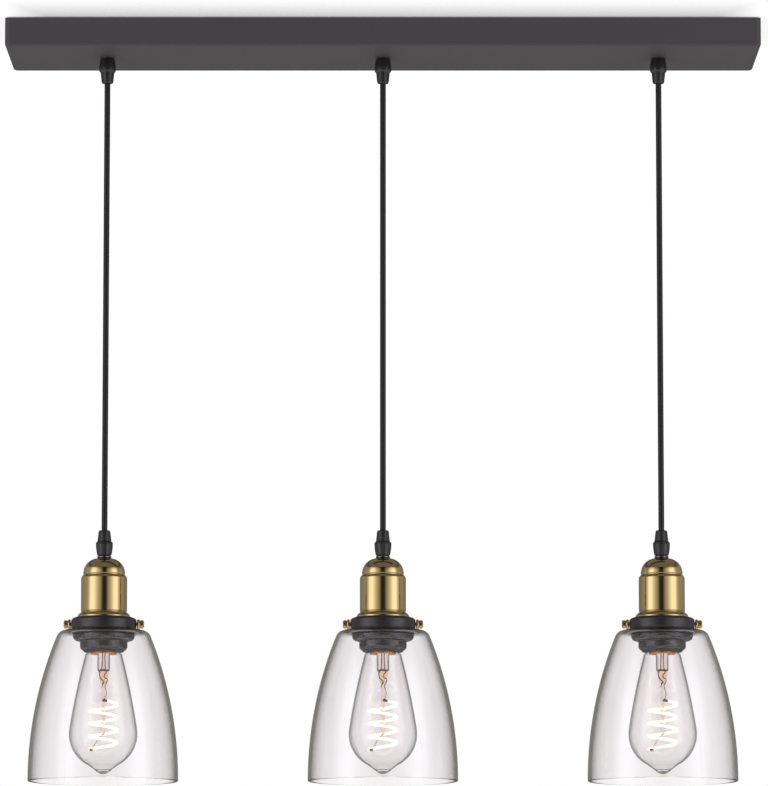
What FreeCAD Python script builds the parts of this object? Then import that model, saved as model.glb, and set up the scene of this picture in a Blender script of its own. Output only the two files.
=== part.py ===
"""Linear island pendant: a long steel canopy and three glass shades, each hanging on its own cord.

Millimetres. The origin is on the ceiling, at the middle of the canopy. +X runs along the canopy,
+Y away from the viewer and +Z up, so the light hangs down from Z = 0.
"""
import FreeCAD
import Part

import math
import os

# Driving dimensions of the canopy and the layout
CANOPY_LENGTH = 706.0
CANOPY_DEPTH = 127.0
CANOPY_HEIGHT = 27.0
CANOPY_WALL = 1.2
CANOPY_CORNER = 5.0
CANOPY_EDGE = 2.6
PENDANT_SPACING = 260.0
PENDANT_COUNT = 3

# Mounting bar, which is screwed to the ceiling box and carries the canopy by its end screws
BAR_WIDTH = 30.0
BAR_THICKNESS = 2.0
BAR_FLANGE_DROP = 20.0
BAR_END_GAP = 0.2
BOX_SLOT_SPACING = 79.4
BOX_SLOT_LENGTH = 15.0
BOX_SLOT_RADIUS = 2.4
ANCHOR_SPACING = 500.0
ANCHOR_RADIUS = 2.6
END_SCREW_RADIUS = 2.0
END_SCREW_DROP = 14.0
GROUND_SCREW_X = 110.0

# Cord and its grips, the same moulding at both ends
CORD_RADIUS = 2.75
CORD_FREE_LENGTH = 424.0
GRIP_BORE = 2.8
GRIP_STUD_RADIUS = 4.9
GRIP_CAP_LENGTH = 10.5
GRIP_SHOULDER_LENGTH = 2.3
GRIP_BODY_LENGTH = 10.6
GRIP_BOSS_RADIUS = 5.8
GRIP_BOSS_LENGTH = 0.6
GRIP_MOUTH_RADIUS = 5.5
GRIP_NECK_RADIUS = 6.6
GRIP_SHOULDER_RADIUS = 8.0
GRIP_BASE_RADIUS = 6.8
GRIP_RIBS = 10
GRIP_RIB_DEPTH = 0.55
UPPER_STUD_LENGTH = 10.0
LOWER_STUD_LENGTH = 21.0

# The soft insert in the upper grip, in which the cord bends when a pendant swings
INSERT_INNER = 3.05
INSERT_OUTER = 3.9
INSERT_LENGTH = 3.2
INSERT_ROOM = 0.5
CORD_END_TAPER = 2.2
CORD_END_RADIUS = 1.3

# Wiring in the canopy: two insulated conductors from each cord to two terminal blocks
WIRE_RADIUS = 1.1
WIRE_SIDE = 1.35
WIRE_BEND = 5.0
WIRE_HEIGHT = -11.0
TAIL_INSET = 3.0
BLOCK_X = 62.0
BLOCK_LENGTH = 20.0
BLOCK_WIDTH = 9.0
BLOCK_HEIGHT = 8.0
BLOCK_SPREAD = 6.0

# Brass socket cup, spun from thin sheet
CUP_WALL = 0.8
CUP_HOLE = 5.1
CUP_DOME_RADIUS = 18.9
CUP_STEP_RADIUS = 19.6
CUP_RADIUS = 21.5
CUP_SKIRT_RADIUS = 24.6
CUP_GROOVE = 0.4

# Dark shade ring with its two thumbscrews
RING_RADIUS = 30.4
RING_HEIGHT = 12.2
RING_CROWN = 2.0
RING_FLANGE = 2.8
RING_BORE = 24.95
RING_SEAT_BORE = 20.6
THUMB_SHANK_RADIUS = 1.8
THUMB_CLEARANCE = 0.05
THUMB_GAP = 0.5
THUMB_BODY_RADIUS = 4.7
THUMB_BODY_LENGTH = 2.6
THUMB_NECK_RADIUS = 3.1
THUMB_NECK_LENGTH = 0.5
THUMB_DISC_RADIUS = 3.9
THUMB_DISC_LENGTH = 2.9
THUMB_RIBS = 16

# Glass shade, one long arc that ends upright at the rim
SHADE_RADIUS = 69.85
SHADE_HEIGHT = 139.7
SHADE_ARC = 357.5
SHADE_SHOULDER = 9.0
SHADE_WALL = 2.8
SHADE_BEVEL = 0.9
SHADE_HOLE = 21.5

# Threaded collar that clamps the glass from inside
COLLAR_FLANGE_RADIUS = 28.8
COLLAR_FLANGE_EDGE = 3.1
COLLAR_FLANGE_ROUND = 4.3
COLLAR_HUB_RADIUS = 22.1
COLLAR_BORE = 19.9
COLLAR_HEIGHT = 15.8
COLLAR_CHAMFER = 1.9

# Lampholder for a 26 mm screw base
HOLDER_RADIUS = 19.6
HOLDER_MOUTH_RADIUS = 18.6
HOLDER_BORE = 14.4
HOLDER_NECK_RADIUS = 8.0
HOLDER_CHAMBER_RADIUS = 15.0
LEAD_SPREAD = 8.0
SHELL_RADIUS = 14.1
SHELL_WALL = 0.5

# Teardrop filament bulb, 64 mm wide
BULB_RADIUS = 31.8
BULB_NECK_RADIUS = 13.3
BULB_SHOULDER_RADIUS = 17.6
BULB_WALL = 0.9
BULB_CAP_RADIUS = 13.0
BULB_CAP_LENGTH = 22.5
BULB_CAP_WALL = 0.6
BULB_PIP_LENGTH = 5.4
FILAMENT_RADIUS = 12.8
FILAMENT_TURNS = 3.75
FILAMENT_HEIGHT = 44.3
FILAMENT_WIRE = 2.0
FILAMENT_START_DEG = -68
FILAMENT_SIDES = 8
POST_RADIUS = 1.6
LEAD_RADIUS = 0.35
CLIP_RADIUS = 1.2
CLIP_LENGTH = 2.6

# Heights worked out from the ceiling down
CANOPY_UNDERSIDE = -CANOPY_HEIGHT
GRIP_LENGTH = GRIP_CAP_LENGTH + GRIP_SHOULDER_LENGTH + GRIP_BODY_LENGTH + GRIP_BOSS_LENGTH
UPPER_MOUTH = CANOPY_UNDERSIDE - GRIP_LENGTH
LOWER_MOUTH = UPPER_MOUTH - CORD_FREE_LENGTH
LOWER_BASE = LOWER_MOUTH - GRIP_LENGTH
WASHER_HEIGHT = 2.2
CUP_TOP = LOWER_BASE - WASHER_HEIGHT
CUP_DOME_DROP = 10.0
CUP_STEP_DROP = 15.0
CUP_BODY_DROP = 19.2
CUP_BEAD_DROP = 50.0
CUP_SKIRT_DROP = 54.4
RING_TOP = CUP_TOP - 55.2
RING_BOTTOM = RING_TOP - RING_HEIGHT
SHADE_TOP = RING_BOTTOM
SHADE_RIM = SHADE_TOP - SHADE_HEIGHT
COLLAR_TOP = SHADE_TOP - SHADE_WALL
COLLAR_BOTTOM = COLLAR_TOP - COLLAR_HEIGHT
HOLDER_BOTTOM = COLLAR_BOTTOM - 2.0
HOLDER_FLOOR = HOLDER_BOTTOM + 32.0
HOLDER_TOP = CUP_TOP - CUP_WALL - 1.0
BULB_CAP_RIM = HOLDER_BOTTOM + 1.6
BULB_CENTRE = BULB_CAP_RIM - 77.7
BULB_BOTTOM = BULB_CENTRE - BULB_RADIUS

PENDANT_X = [(i - (PENDANT_COUNT - 1) / 2) * PENDANT_SPACING for i in range(PENDANT_COUNT)]
DOWN = FreeCAD.Vector(0, 0, -1)
UP = FreeCAD.Vector(0, 0, 1)


def spot(radius, height):
    """A point of an outline in the plane that is turned about the Z axis."""
    return FreeCAD.Vector(radius, 0, height)


def turned(*stations):
    """A solid turned about Z. A station is (radius, height), or ((radius, height), (radius, height))
    for an arc through the first point to the second."""
    edges = []
    start = last = spot(*stations[0])
    for station in stations[1:]:
        if isinstance(station[0], tuple):
            middle, end = spot(*station[0]), spot(*station[1])
            edges.append(Part.Arc(last, middle, end).toShape())
        else:
            end = spot(*station)
            edges.append(Part.makeLine(last, end))
        last = end
    edges.append(Part.makeLine(last, start))
    return Part.Face(Part.Wire(edges)).revolve(FreeCAD.Vector(), UP, 360)


def tube(outer, inner, low, high):
    """A plain tube between two heights."""
    body = Part.makeCylinder(outer, high - low, FreeCAD.Vector(0, 0, low))
    return body.cut(Part.makeCylinder(inner, high - low + 2, FreeCAD.Vector(0, 0, low - 1)))


def halves(start, through, end):
    """The arc through three points as two stations, one for each half. Its mesh is lighter so."""
    arc = Part.Arc(spot(*start), spot(*through), spot(*end))
    span = arc.LastParameter - arc.FirstParameter
    quarters = [arc.value(arc.FirstParameter + span * part) for part in (0.25, 0.5, 0.75)]
    first, half, second = [(point.x, point.z) for point in quarters]
    return [(first, half), (second, end)]


def on_arc(centre, radius, angle_deg):
    """A point on an arc of the outline, as (radius, height)."""
    angle = math.radians(angle_deg)
    return centre[0] + radius * math.cos(angle), centre[1] + radius * math.sin(angle)


def arc_middle(centre, radius, start_deg, end_deg):
    """The point halfway along an arc of the outline."""
    return on_arc(centre, radius, (start_deg + end_deg) / 2)


def star(tip, valley, count, height):
    """A closed outline of straight facets that runs in and out between two radii."""
    points = []
    for i in range(2 * count):
        angle = math.pi * i / count
        radius = tip if i % 2 == 0 else valley
        points.append(FreeCAD.Vector(radius * math.cos(angle), radius * math.sin(angle), height))
    return Part.makePolygon(points + points[:1])


def grip_cap():
    """The cord grip's cap: a ribbed cone on a shoulder. Its mouth is at Z = 0 and faces down."""
    neck = GRIP_CAP_LENGTH
    base = GRIP_CAP_LENGTH + GRIP_SHOULDER_LENGTH
    low = star(GRIP_MOUTH_RADIUS, GRIP_MOUTH_RADIUS - GRIP_RIB_DEPTH, GRIP_RIBS, 0)
    high = star(GRIP_NECK_RADIUS, GRIP_NECK_RADIUS - GRIP_RIB_DEPTH, GRIP_RIBS, neck + 0.4)
    cone = Part.makeLoft([low, high], True, True)
    shoulder = turned(
        (0, neck),
        (GRIP_NECK_RADIUS + 0.1, neck),
        (GRIP_SHOULDER_RADIUS, base - 0.7),
        (GRIP_SHOULDER_RADIUS, base),
        (0, base),
    )
    cap = cone.fuse(shoulder).removeSplitter()
    return cap.cut(Part.makeCylinder(GRIP_BORE, base + 2, FreeCAD.Vector(0, 0, -1)))


def upper_cap():
    """The canopy grip's cap, opened at its mouth to hold the soft insert."""
    room_radius = INSERT_OUTER + INSERT_ROOM
    room = Part.makeCylinder(room_radius, 1 + INSERT_LENGTH + INSERT_ROOM + 0.2, FreeCAD.Vector(0, 0, -1))
    return grip_cap().cut(room)


def grip_body(stud_length):
    """The cord grip's faceted barrel and its threaded stud. It seats on the cap at Z = cap length."""
    base = GRIP_CAP_LENGTH + GRIP_SHOULDER_LENGTH
    barrel_end = base + GRIP_BODY_LENGTH
    low = star(GRIP_SHOULDER_RADIUS - 0.1, GRIP_SHOULDER_RADIUS - 0.4, GRIP_RIBS, base)
    high = star(GRIP_BASE_RADIUS, GRIP_BASE_RADIUS - 0.3, GRIP_RIBS, barrel_end)
    barrel = Part.makeLoft([low, high], True, True)
    boss = Part.makeCylinder(GRIP_BOSS_RADIUS, GRIP_BOSS_LENGTH + 1, FreeCAD.Vector(0, 0, barrel_end - 1))
    stud = Part.makeCylinder(GRIP_STUD_RADIUS, stud_length + 1, FreeCAD.Vector(0, 0, GRIP_LENGTH - 1))
    body = barrel.fuse([boss, stud])
    bore_length = GRIP_LENGTH + stud_length
    return body.cut(Part.makeCylinder(GRIP_BORE, bore_length, FreeCAD.Vector(0, 0, base - 1)))


def facing_up(shape, mouth):
    """A grip piece turned over, so that its mouth faces up at the given height."""
    over = shape.copy()
    over.rotate(FreeCAD.Vector(), FreeCAD.Vector(1, 0, 0), 180)
    over.translate(FreeCAD.Vector(0, 0, mouth))
    return over


def raised(shape, height):
    """A copy of a shape, moved up by a height."""
    copy = shape.copy()
    copy.translate(FreeCAD.Vector(0, 0, height))
    return copy


def rounded_box(length, depth, top, bottom, corner, edge):
    """A box with round upright corners and round lower edges."""
    size = (length, depth, top - bottom)
    box = Part.makeBox(*size, FreeCAD.Vector(-length / 2, -depth / 2, bottom))
    upright = [e for e in box.Edges if abs(e.tangentAt(e.FirstParameter).z) > 0.9]
    box = box.makeFillet(corner, upright)
    lower = [e for e in box.Edges if e.BoundBox.ZMax < bottom + 0.01]
    return box.makeFillet(edge, lower)


def canopy():
    """The folded steel tray, open at the top, with a hole for each grip and each end screw."""
    outer = rounded_box(CANOPY_LENGTH, CANOPY_DEPTH, 0, CANOPY_UNDERSIDE, CANOPY_CORNER, CANOPY_EDGE)
    inner = rounded_box(
        CANOPY_LENGTH - 2 * CANOPY_WALL,
        CANOPY_DEPTH - 2 * CANOPY_WALL,
        1,
        CANOPY_UNDERSIDE + CANOPY_WALL,
        CANOPY_CORNER - CANOPY_WALL,
        CANOPY_EDGE - CANOPY_WALL,
    )
    tray = outer.cut(inner)
    for x in PENDANT_X:
        start = FreeCAD.Vector(x, 0, CANOPY_UNDERSIDE - 1)
        tray = tray.cut(Part.makeCylinder(GRIP_STUD_RADIUS + 0.2, CANOPY_WALL + 2, start))
    for side in (-1, 1):
        start = FreeCAD.Vector(side * (CANOPY_LENGTH / 2 + 1), 0, -END_SCREW_DROP)
        inward = FreeCAD.Vector(-side, 0, 0)
        tray = tray.cut(Part.makeCylinder(END_SCREW_RADIUS + 0.2, CANOPY_WALL + 2, start, inward))
    return tray


def bar_half_length():
    """How far the mounting bar's end flanges stand from the middle."""
    return CANOPY_LENGTH / 2 - CANOPY_WALL - BAR_END_GAP


def mounting_bar():
    """The steel strap against the ceiling, its ends folded down to take the canopy's screws."""
    half = bar_half_length()
    start = FreeCAD.Vector(-half, -BAR_WIDTH / 2, -BAR_THICKNESS)
    bar = Part.makeBox(2 * half, BAR_WIDTH, BAR_THICKNESS, start)
    for side in (-1, 1):
        inner = side * half - (BAR_THICKNESS if side > 0 else 0)
        start = FreeCAD.Vector(inner, -BAR_WIDTH / 2, -BAR_FLANGE_DROP)
        bar = bar.fuse(Part.makeBox(BAR_THICKNESS, BAR_WIDTH, BAR_FLANGE_DROP, start))
        start = FreeCAD.Vector(side * (half + 1), 0, -END_SCREW_DROP)
        inward = FreeCAD.Vector(-side, 0, 0)
        bar = bar.cut(Part.makeCylinder(END_SCREW_RADIUS, BAR_THICKNESS + 2, start, inward))
        slot_x = side * BOX_SLOT_SPACING / 2
        straight = BOX_SLOT_LENGTH - 2 * BOX_SLOT_RADIUS
        corner = FreeCAD.Vector(slot_x - straight / 2, -BOX_SLOT_RADIUS, -BAR_THICKNESS - 1)
        bar = bar.cut(Part.makeBox(straight, 2 * BOX_SLOT_RADIUS, BAR_THICKNESS + 2, corner))
        for end in (-1, 1):
            middle = FreeCAD.Vector(slot_x + end * straight / 2, 0, -BAR_THICKNESS - 1)
            bar = bar.cut(Part.makeCylinder(BOX_SLOT_RADIUS, BAR_THICKNESS + 2, middle))
        anchor = FreeCAD.Vector(side * ANCHOR_SPACING / 2, 0, -BAR_THICKNESS - 1)
        bar = bar.cut(Part.makeCylinder(ANCHOR_RADIUS, BAR_THICKNESS + 2, anchor))
    ground = FreeCAD.Vector(GROUND_SCREW_X, 0, -BAR_THICKNESS - 1)
    return bar.cut(Part.makeCylinder(END_SCREW_RADIUS, BAR_THICKNESS + 2, ground)).removeSplitter()


def pan_screw(shank_length):
    """A pan head screw that points up: its head is below Z = 0 and its shank above."""
    head_radius = 3.8
    head_height = 2.4
    return turned(
        (0, -head_height),
        (1.6, -head_height),
        ((head_radius - 0.7, -head_height * 0.8), (head_radius, -0.5)),
        (head_radius, 0),
        (END_SCREW_RADIUS, 0),
        (END_SCREW_RADIUS, shank_length),
        (0, shank_length),
    )


def bar_screws():
    """The two canopy screws in the end walls and the ground screw under the bar."""
    screws = []
    for side in (-1, 1):
        screw = pan_screw(8.0)
        screw.rotate(FreeCAD.Vector(), FreeCAD.Vector(0, 1, 0), -90 * side)
        screw.translate(FreeCAD.Vector(side * CANOPY_LENGTH / 2, 0, -END_SCREW_DROP))
        screws.append(screw)
    ground = pan_screw(BAR_THICKNESS)
    ground.translate(FreeCAD.Vector(GROUND_SCREW_X, 0, -BAR_THICKNESS))
    return screws + [ground]


def grip_nuts():
    """A hexagon lock nut on each upper grip's stud, inside the canopy."""
    corner_radius = 8.1
    height = 3.0
    low = CANOPY_UNDERSIDE + CANOPY_WALL
    hexagon = star(corner_radius, corner_radius * math.cos(math.pi / 6), 6, low)
    nut = Part.Face(hexagon).extrude(UP * height)
    nut = nut.cut(Part.makeCylinder(GRIP_STUD_RADIUS + 0.02, height + 2, FreeCAD.Vector(0, 0, low - 1)))
    nuts = []
    for x in PENDANT_X:
        copy = nut.copy()
        copy.translate(FreeCAD.Vector(x, 0, 0))
        nuts.append(copy)
    return nuts


def terminal_blocks():
    """Two in-line terminal blocks that join the three cords' conductors."""
    blocks = []
    for side in (-1, 1):
        near = side * BLOCK_SPREAD - BLOCK_WIDTH / 2
        corner = FreeCAD.Vector(BLOCK_X, near, WIRE_HEIGHT - BLOCK_HEIGHT / 2)
        block = Part.makeBox(BLOCK_LENGTH, BLOCK_WIDTH, BLOCK_HEIGHT, corner)
        blocks.append(block.makeChamfer(1.0, [e for e in block.Edges if e.Length > BLOCK_LENGTH - 1]))
    return blocks


def conductor(x, side):
    """One insulated conductor: up out of a grip's stud, round a bend and along to its block."""
    low = CANOPY_UNDERSIDE + UPPER_STUD_LENGTH - TAIL_INSET
    towards = 1 if x < BLOCK_X else -1
    block_face = BLOCK_X if towards > 0 else BLOCK_X + BLOCK_LENGTH
    y = side * WIRE_SIDE
    foot = FreeCAD.Vector(x, y, low)
    bend_foot = FreeCAD.Vector(x, y, WIRE_HEIGHT - WIRE_BEND)
    bend_head = FreeCAD.Vector(x + towards * WIRE_BEND, y, WIRE_HEIGHT)
    turn = WIRE_BEND * (1 - math.sqrt(0.5))
    bend_middle = FreeCAD.Vector(x + towards * turn, y, WIRE_HEIGHT - turn)
    spread_start = bend_head + FreeCAD.Vector(towards * 12, 0, 0)
    spread_end = FreeCAD.Vector(block_face - towards * 8, side * BLOCK_SPREAD, WIRE_HEIGHT)
    head = FreeCAD.Vector(block_face, side * BLOCK_SPREAD, WIRE_HEIGHT)
    lift = [
        Part.makeLine(foot, bend_foot),
        Part.Arc(bend_foot, bend_middle, bend_head).toShape(),
        Part.makeLine(bend_head, spread_start),
    ]
    ring = Part.Wire(Part.makeCircle(WIRE_RADIUS, foot, UP))
    wire = Part.Wire(lift).makePipeShell([ring], True, True)
    for start, end in ((spread_start, spread_end), (spread_end, head)):
        run = end - start
        wire = wire.fuse(Part.makeCylinder(WIRE_RADIUS, run.Length, start, run))
        wire = wire.fuse(Part.makeSphere(WIRE_RADIUS, start))
    return wire


def supply_wires():
    """The cords' fixed tails in the upper grips, and their conductors to the terminal blocks."""
    tail_low = UPPER_MOUTH + INSERT_LENGTH + INSERT_ROOM + 0.2
    tail_high = CANOPY_UNDERSIDE + UPPER_STUD_LENGTH - TAIL_INSET
    solids = []
    for x in PENDANT_X:
        tail = Part.makeCylinder(CORD_RADIUS, tail_high - tail_low, FreeCAD.Vector(x, 0, tail_low))
        solids.append(tail)
        solids += [conductor(x, side) for side in (-1, 1)]
    return solids


def grip_insert():
    """The soft sleeve in the upper grip's mouth. It tips with the cord when a pendant sways."""
    return tube(INSERT_OUTER, INSERT_INNER, UPPER_MOUTH, UPPER_MOUTH + INSERT_LENGTH)


def cord():
    """The cord's free stretch. Its top end tapers inside the insert, so that it can tip there."""
    return turned(
        (0, UPPER_MOUTH + CORD_END_TAPER),
        (CORD_END_RADIUS, UPPER_MOUTH + CORD_END_TAPER),
        (CORD_RADIUS, UPPER_MOUTH),
        (CORD_RADIUS, LOWER_MOUTH),
        (0, LOWER_MOUTH),
    )


def grip_washer():
    """The bright ring between the lower grip and the brass cup."""
    radius = 6.7
    return turned(
        (GRIP_STUD_RADIUS + 0.05, CUP_TOP),
        (radius - 0.3, CUP_TOP),
        ((radius, CUP_TOP + WASHER_HEIGHT / 2), (radius - 0.3, CUP_TOP + WASHER_HEIGHT)),
        (GRIP_STUD_RADIUS + 0.05, CUP_TOP + WASHER_HEIGHT),
    )


def cup_outline(inset):
    """The spun cup's outline from its hole to its skirt, moved in by the sheet's thickness."""
    dome_top = (6.2, CUP_TOP - inset)
    dome_side = (14.6 - 0.6 * inset, CUP_TOP - 3.4 - 0.8 * inset)
    dome_end = (CUP_DOME_RADIUS - inset, CUP_TOP - CUP_DOME_DROP)
    step = CUP_TOP - CUP_STEP_DROP
    body = CUP_TOP - CUP_BODY_DROP
    bead = CUP_TOP - CUP_BEAD_DROP
    skirt = CUP_TOP - CUP_SKIRT_DROP
    return [
        (CUP_HOLE, CUP_TOP - inset),
        dome_top,
        *halves(dome_top, dome_side, dome_end),
        (CUP_STEP_RADIUS - inset, step + 0.8),
        (CUP_STEP_RADIUS - CUP_GROOVE - inset, step),
        (CUP_STEP_RADIUS - inset, step - 0.8),
        ((CUP_RADIUS - 0.7 - inset, step - 2.1), (CUP_RADIUS - inset, body)),
        (CUP_RADIUS - inset, bead + 0.8),
        (CUP_RADIUS - CUP_GROOVE - inset, bead),
        (CUP_RADIUS - inset, bead - 0.8),
        ((CUP_RADIUS + 1.9 - inset, bead - 2.3), (CUP_SKIRT_RADIUS - inset, skirt)),
        (CUP_SKIRT_RADIUS - inset, RING_BOTTOM + RING_FLANGE),
    ]


def socket_cup():
    """The brass cup over the lampholder: a dome, a bead, a straight wall, a bead and a flared skirt."""
    bottom = RING_BOTTOM + RING_FLANGE
    outer = turned((0, CUP_TOP), *cup_outline(0)[1:], (0, bottom))
    inner = turned((0, CUP_TOP - CUP_WALL), *cup_outline(CUP_WALL)[1:], (0, bottom))
    hole = Part.makeCylinder(CUP_HOLE, 4, FreeCAD.Vector(0, 0, CUP_TOP - 3))
    return outer.cut(inner).cut(hole)


def thumb_height():
    """The thumbscrews' height, halfway down the ring's straight wall."""
    return (RING_TOP - RING_CROWN + RING_BOTTOM) / 2 + 0.6


def shade_ring():
    """The dark ring round the cup's skirt. Its lower flange bears on the glass."""
    edge = 0.7
    ring = turned(
        (RING_BORE, RING_TOP),
        (RING_BORE + 0.9, RING_TOP),
        ((RING_RADIUS - 1.6, RING_TOP - 0.8), (RING_RADIUS, RING_TOP - RING_CROWN)),
        (RING_RADIUS, RING_BOTTOM + edge),
        (RING_RADIUS - edge, RING_BOTTOM),
        (RING_SEAT_BORE, RING_BOTTOM),
        (RING_SEAT_BORE, RING_BOTTOM + RING_FLANGE),
        (RING_BORE, RING_BOTTOM + RING_FLANGE),
    )
    start = FreeCAD.Vector(-RING_RADIUS - 1, 0, thumb_height())
    bore = THUMB_SHANK_RADIUS + THUMB_CLEARANCE
    across = Part.makeCylinder(bore, 2 * RING_RADIUS + 2, start, FreeCAD.Vector(1, 0, 0))
    return ring.cut(across)


def thumbscrew(side):
    """A thumbscrew with its tip against the cup's skirt: a round body and a smaller grooved disc."""
    tip = CUP_SKIRT_RADIUS + 0.1
    low = RING_RADIUS + THUMB_GAP
    high = low + THUMB_BODY_LENGTH
    disc = high + THUMB_NECK_LENGTH
    end = disc + THUMB_DISC_LENGTH
    ease = 0.7
    body = turned(
        (0, tip),
        (THUMB_SHANK_RADIUS, tip),
        (THUMB_SHANK_RADIUS, low),
        (THUMB_BODY_RADIUS - ease, low),
        (THUMB_BODY_RADIUS, low + ease),
        (THUMB_BODY_RADIUS, high - ease),
        (THUMB_BODY_RADIUS - ease, high),
        (THUMB_NECK_RADIUS, high),
        (THUMB_NECK_RADIUS, disc + 0.5),
        (0, disc + 0.5),
    )
    grooved = star(THUMB_DISC_RADIUS, THUMB_DISC_RADIUS - 0.35, THUMB_RIBS, disc)
    head = Part.Face(grooved).extrude(UP * THUMB_DISC_LENGTH)
    crown = Part.makeCone(3.3, 2.4, 0.6, FreeCAD.Vector(0, 0, end))
    screw = body.fuse([head, crown]).removeSplitter()
    screw.rotate(FreeCAD.Vector(), FreeCAD.Vector(0, 1, 0), 90 * side)
    return raised(screw, thumb_height())


def shade_outline(inset):
    """The shade's flat top, round shoulder and long curve. Returns the stations from hole to rim."""
    arc = SHADE_ARC - inset
    centre = (SHADE_RADIUS - SHADE_ARC, SHADE_RIM)
    top = SHADE_TOP - inset
    shoulder = SHADE_SHOULDER - inset
    # the shoulder's centre lies one shoulder radius inside both the top and the long curve
    rise = top - shoulder - SHADE_RIM
    reach = math.sqrt((arc - shoulder) ** 2 - rise ** 2)
    shoulder_centre = (centre[0] + reach, top - shoulder)
    lean = math.degrees(math.atan2(rise, reach))
    # the long curve is drawn as two arcs of one circle, so that its mesh stays light
    return [
        (SHADE_HOLE, top),
        (shoulder_centre[0], top),
        (arc_middle(shoulder_centre, shoulder, lean, 90), on_arc(centre, arc, lean)),
        (on_arc(centre, arc, 0.75 * lean), on_arc(centre, arc, 0.5 * lean)),
        (on_arc(centre, arc, 0.25 * lean), (SHADE_RADIUS - inset, SHADE_RIM)),
    ]


def backwards(stations):
    """The same outline from its last point back to its first, without the last point itself."""
    ends = [station[1] if isinstance(station[0], tuple) else station for station in stations]
    back = []
    for station, end in zip(reversed(stations[1:]), reversed(ends[:-1])):
        back.append((station[0], end) if isinstance(station[0], tuple) else end)
    return back


def glass_shade():
    """The clear bell, with a flat top, a hole for the lampholder and a bevelled rim."""
    rim = [
        (SHADE_RADIUS - SHADE_BEVEL, SHADE_RIM - SHADE_BEVEL),
        (SHADE_RADIUS - SHADE_WALL + SHADE_BEVEL, SHADE_RIM - SHADE_BEVEL),
        (SHADE_RADIUS - SHADE_WALL, SHADE_RIM),
    ]
    return turned(*shade_outline(0), *rim, *backwards(shade_outline(SHADE_WALL)))


def shade_collar():
    """The stepped collar, screwed up the lampholder's thread to hold the glass against the ring."""
    edge = COLLAR_TOP - COLLAR_FLANGE_EDGE
    under = edge - COLLAR_FLANGE_ROUND
    round_centre = (COLLAR_FLANGE_RADIUS - COLLAR_FLANGE_ROUND, edge)
    return turned(
        (COLLAR_BORE, COLLAR_TOP),
        (COLLAR_FLANGE_RADIUS - 0.5, COLLAR_TOP),
        (COLLAR_FLANGE_RADIUS, COLLAR_TOP - 0.5),
        (COLLAR_FLANGE_RADIUS, edge),
        (arc_middle(round_centre, COLLAR_FLANGE_ROUND, 0, -90), (round_centre[0], under)),
        (COLLAR_HUB_RADIUS, under),
        (COLLAR_HUB_RADIUS, COLLAR_BOTTOM + COLLAR_CHAMFER),
        (COLLAR_HUB_RADIUS - COLLAR_CHAMFER + 0.1, COLLAR_BOTTOM),
        (COLLAR_BORE, COLLAR_BOTTOM),
    )


def lampholder():
    """The moulded lampholder: a threaded neck on the stud, a terminal chamber, a floor and a bore."""
    neck_end = HOLDER_TOP - 16.0
    shoulder = neck_end - 6.0
    chamber_top = shoulder - 1.5
    chamber_floor = HOLDER_FLOOR + 7.0
    outer = turned(
        (0, HOLDER_TOP),
        (HOLDER_NECK_RADIUS, HOLDER_TOP),
        (HOLDER_NECK_RADIUS, neck_end),
        (HOLDER_RADIUS - 2, shoulder + 1),
        (HOLDER_RADIUS, shoulder - 1),
        (HOLDER_RADIUS, HOLDER_BOTTOM + 1.2),
        (HOLDER_MOUTH_RADIUS, HOLDER_BOTTOM),
        (0, HOLDER_BOTTOM),
    )
    holder = outer
    for radius, low, high in (
        (GRIP_STUD_RADIUS + 0.03, chamber_top - 1, HOLDER_TOP + 1),
        (HOLDER_CHAMBER_RADIUS, chamber_floor, chamber_top),
        (HOLDER_BORE, HOLDER_BOTTOM - 1, HOLDER_FLOOR),
    ):
        holder = holder.cut(Part.makeCylinder(radius, high - low, FreeCAD.Vector(0, 0, low)))
    for side in (-1, 1):
        start = FreeCAD.Vector(side * LEAD_SPREAD, 0, HOLDER_FLOOR - 1)
        holder = holder.cut(Part.makeCylinder(WIRE_RADIUS + 0.2, 9, start))
    return holder


def lamp_contacts():
    """Inside the lampholder: the screw shell, the centre tongue, and the cord's tail with two leads."""
    shell = tube(SHELL_RADIUS, SHELL_RADIUS - SHELL_WALL, HOLDER_BOTTOM + 2.2, HOLDER_FLOOR - 1.0)
    lid = tube(SHELL_RADIUS, 6.0, HOLDER_FLOOR - 1.0, HOLDER_FLOOR)
    shell = shell.fuse(lid).removeSplitter()
    tongue = Part.makeBox(9.0, 5.0, 0.6, FreeCAD.Vector(-4.5, -2.5, HOLDER_FLOOR - 0.6))
    tongue = tongue.fuse(Part.makeCylinder(2.0, 2.2, FreeCAD.Vector(0, 0, HOLDER_FLOOR - 2.8)))
    tail_end = LOWER_BASE - LOWER_STUD_LENGTH - TAIL_INSET
    tail = Part.makeCylinder(CORD_RADIUS, LOWER_MOUTH - tail_end, FreeCAD.Vector(0, 0, tail_end))
    solids = [shell, tongue, tail]
    for side in (-1, 1):
        top = FreeCAD.Vector(side * WIRE_SIDE, 0, tail_end)
        foot = FreeCAD.Vector(side * LEAD_SPREAD, 0, HOLDER_FLOOR + 12)
        run = foot - top
        lead = Part.makeCylinder(WIRE_RADIUS, run.Length, top, run)
        lead = lead.fuse(Part.makeSphere(WIRE_RADIUS, foot))
        lead = lead.fuse(Part.makeCylinder(WIRE_RADIUS, foot.z - HOLDER_FLOOR, foot, DOWN))
        solids.append(lead.cut(tail))
    return solids


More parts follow.
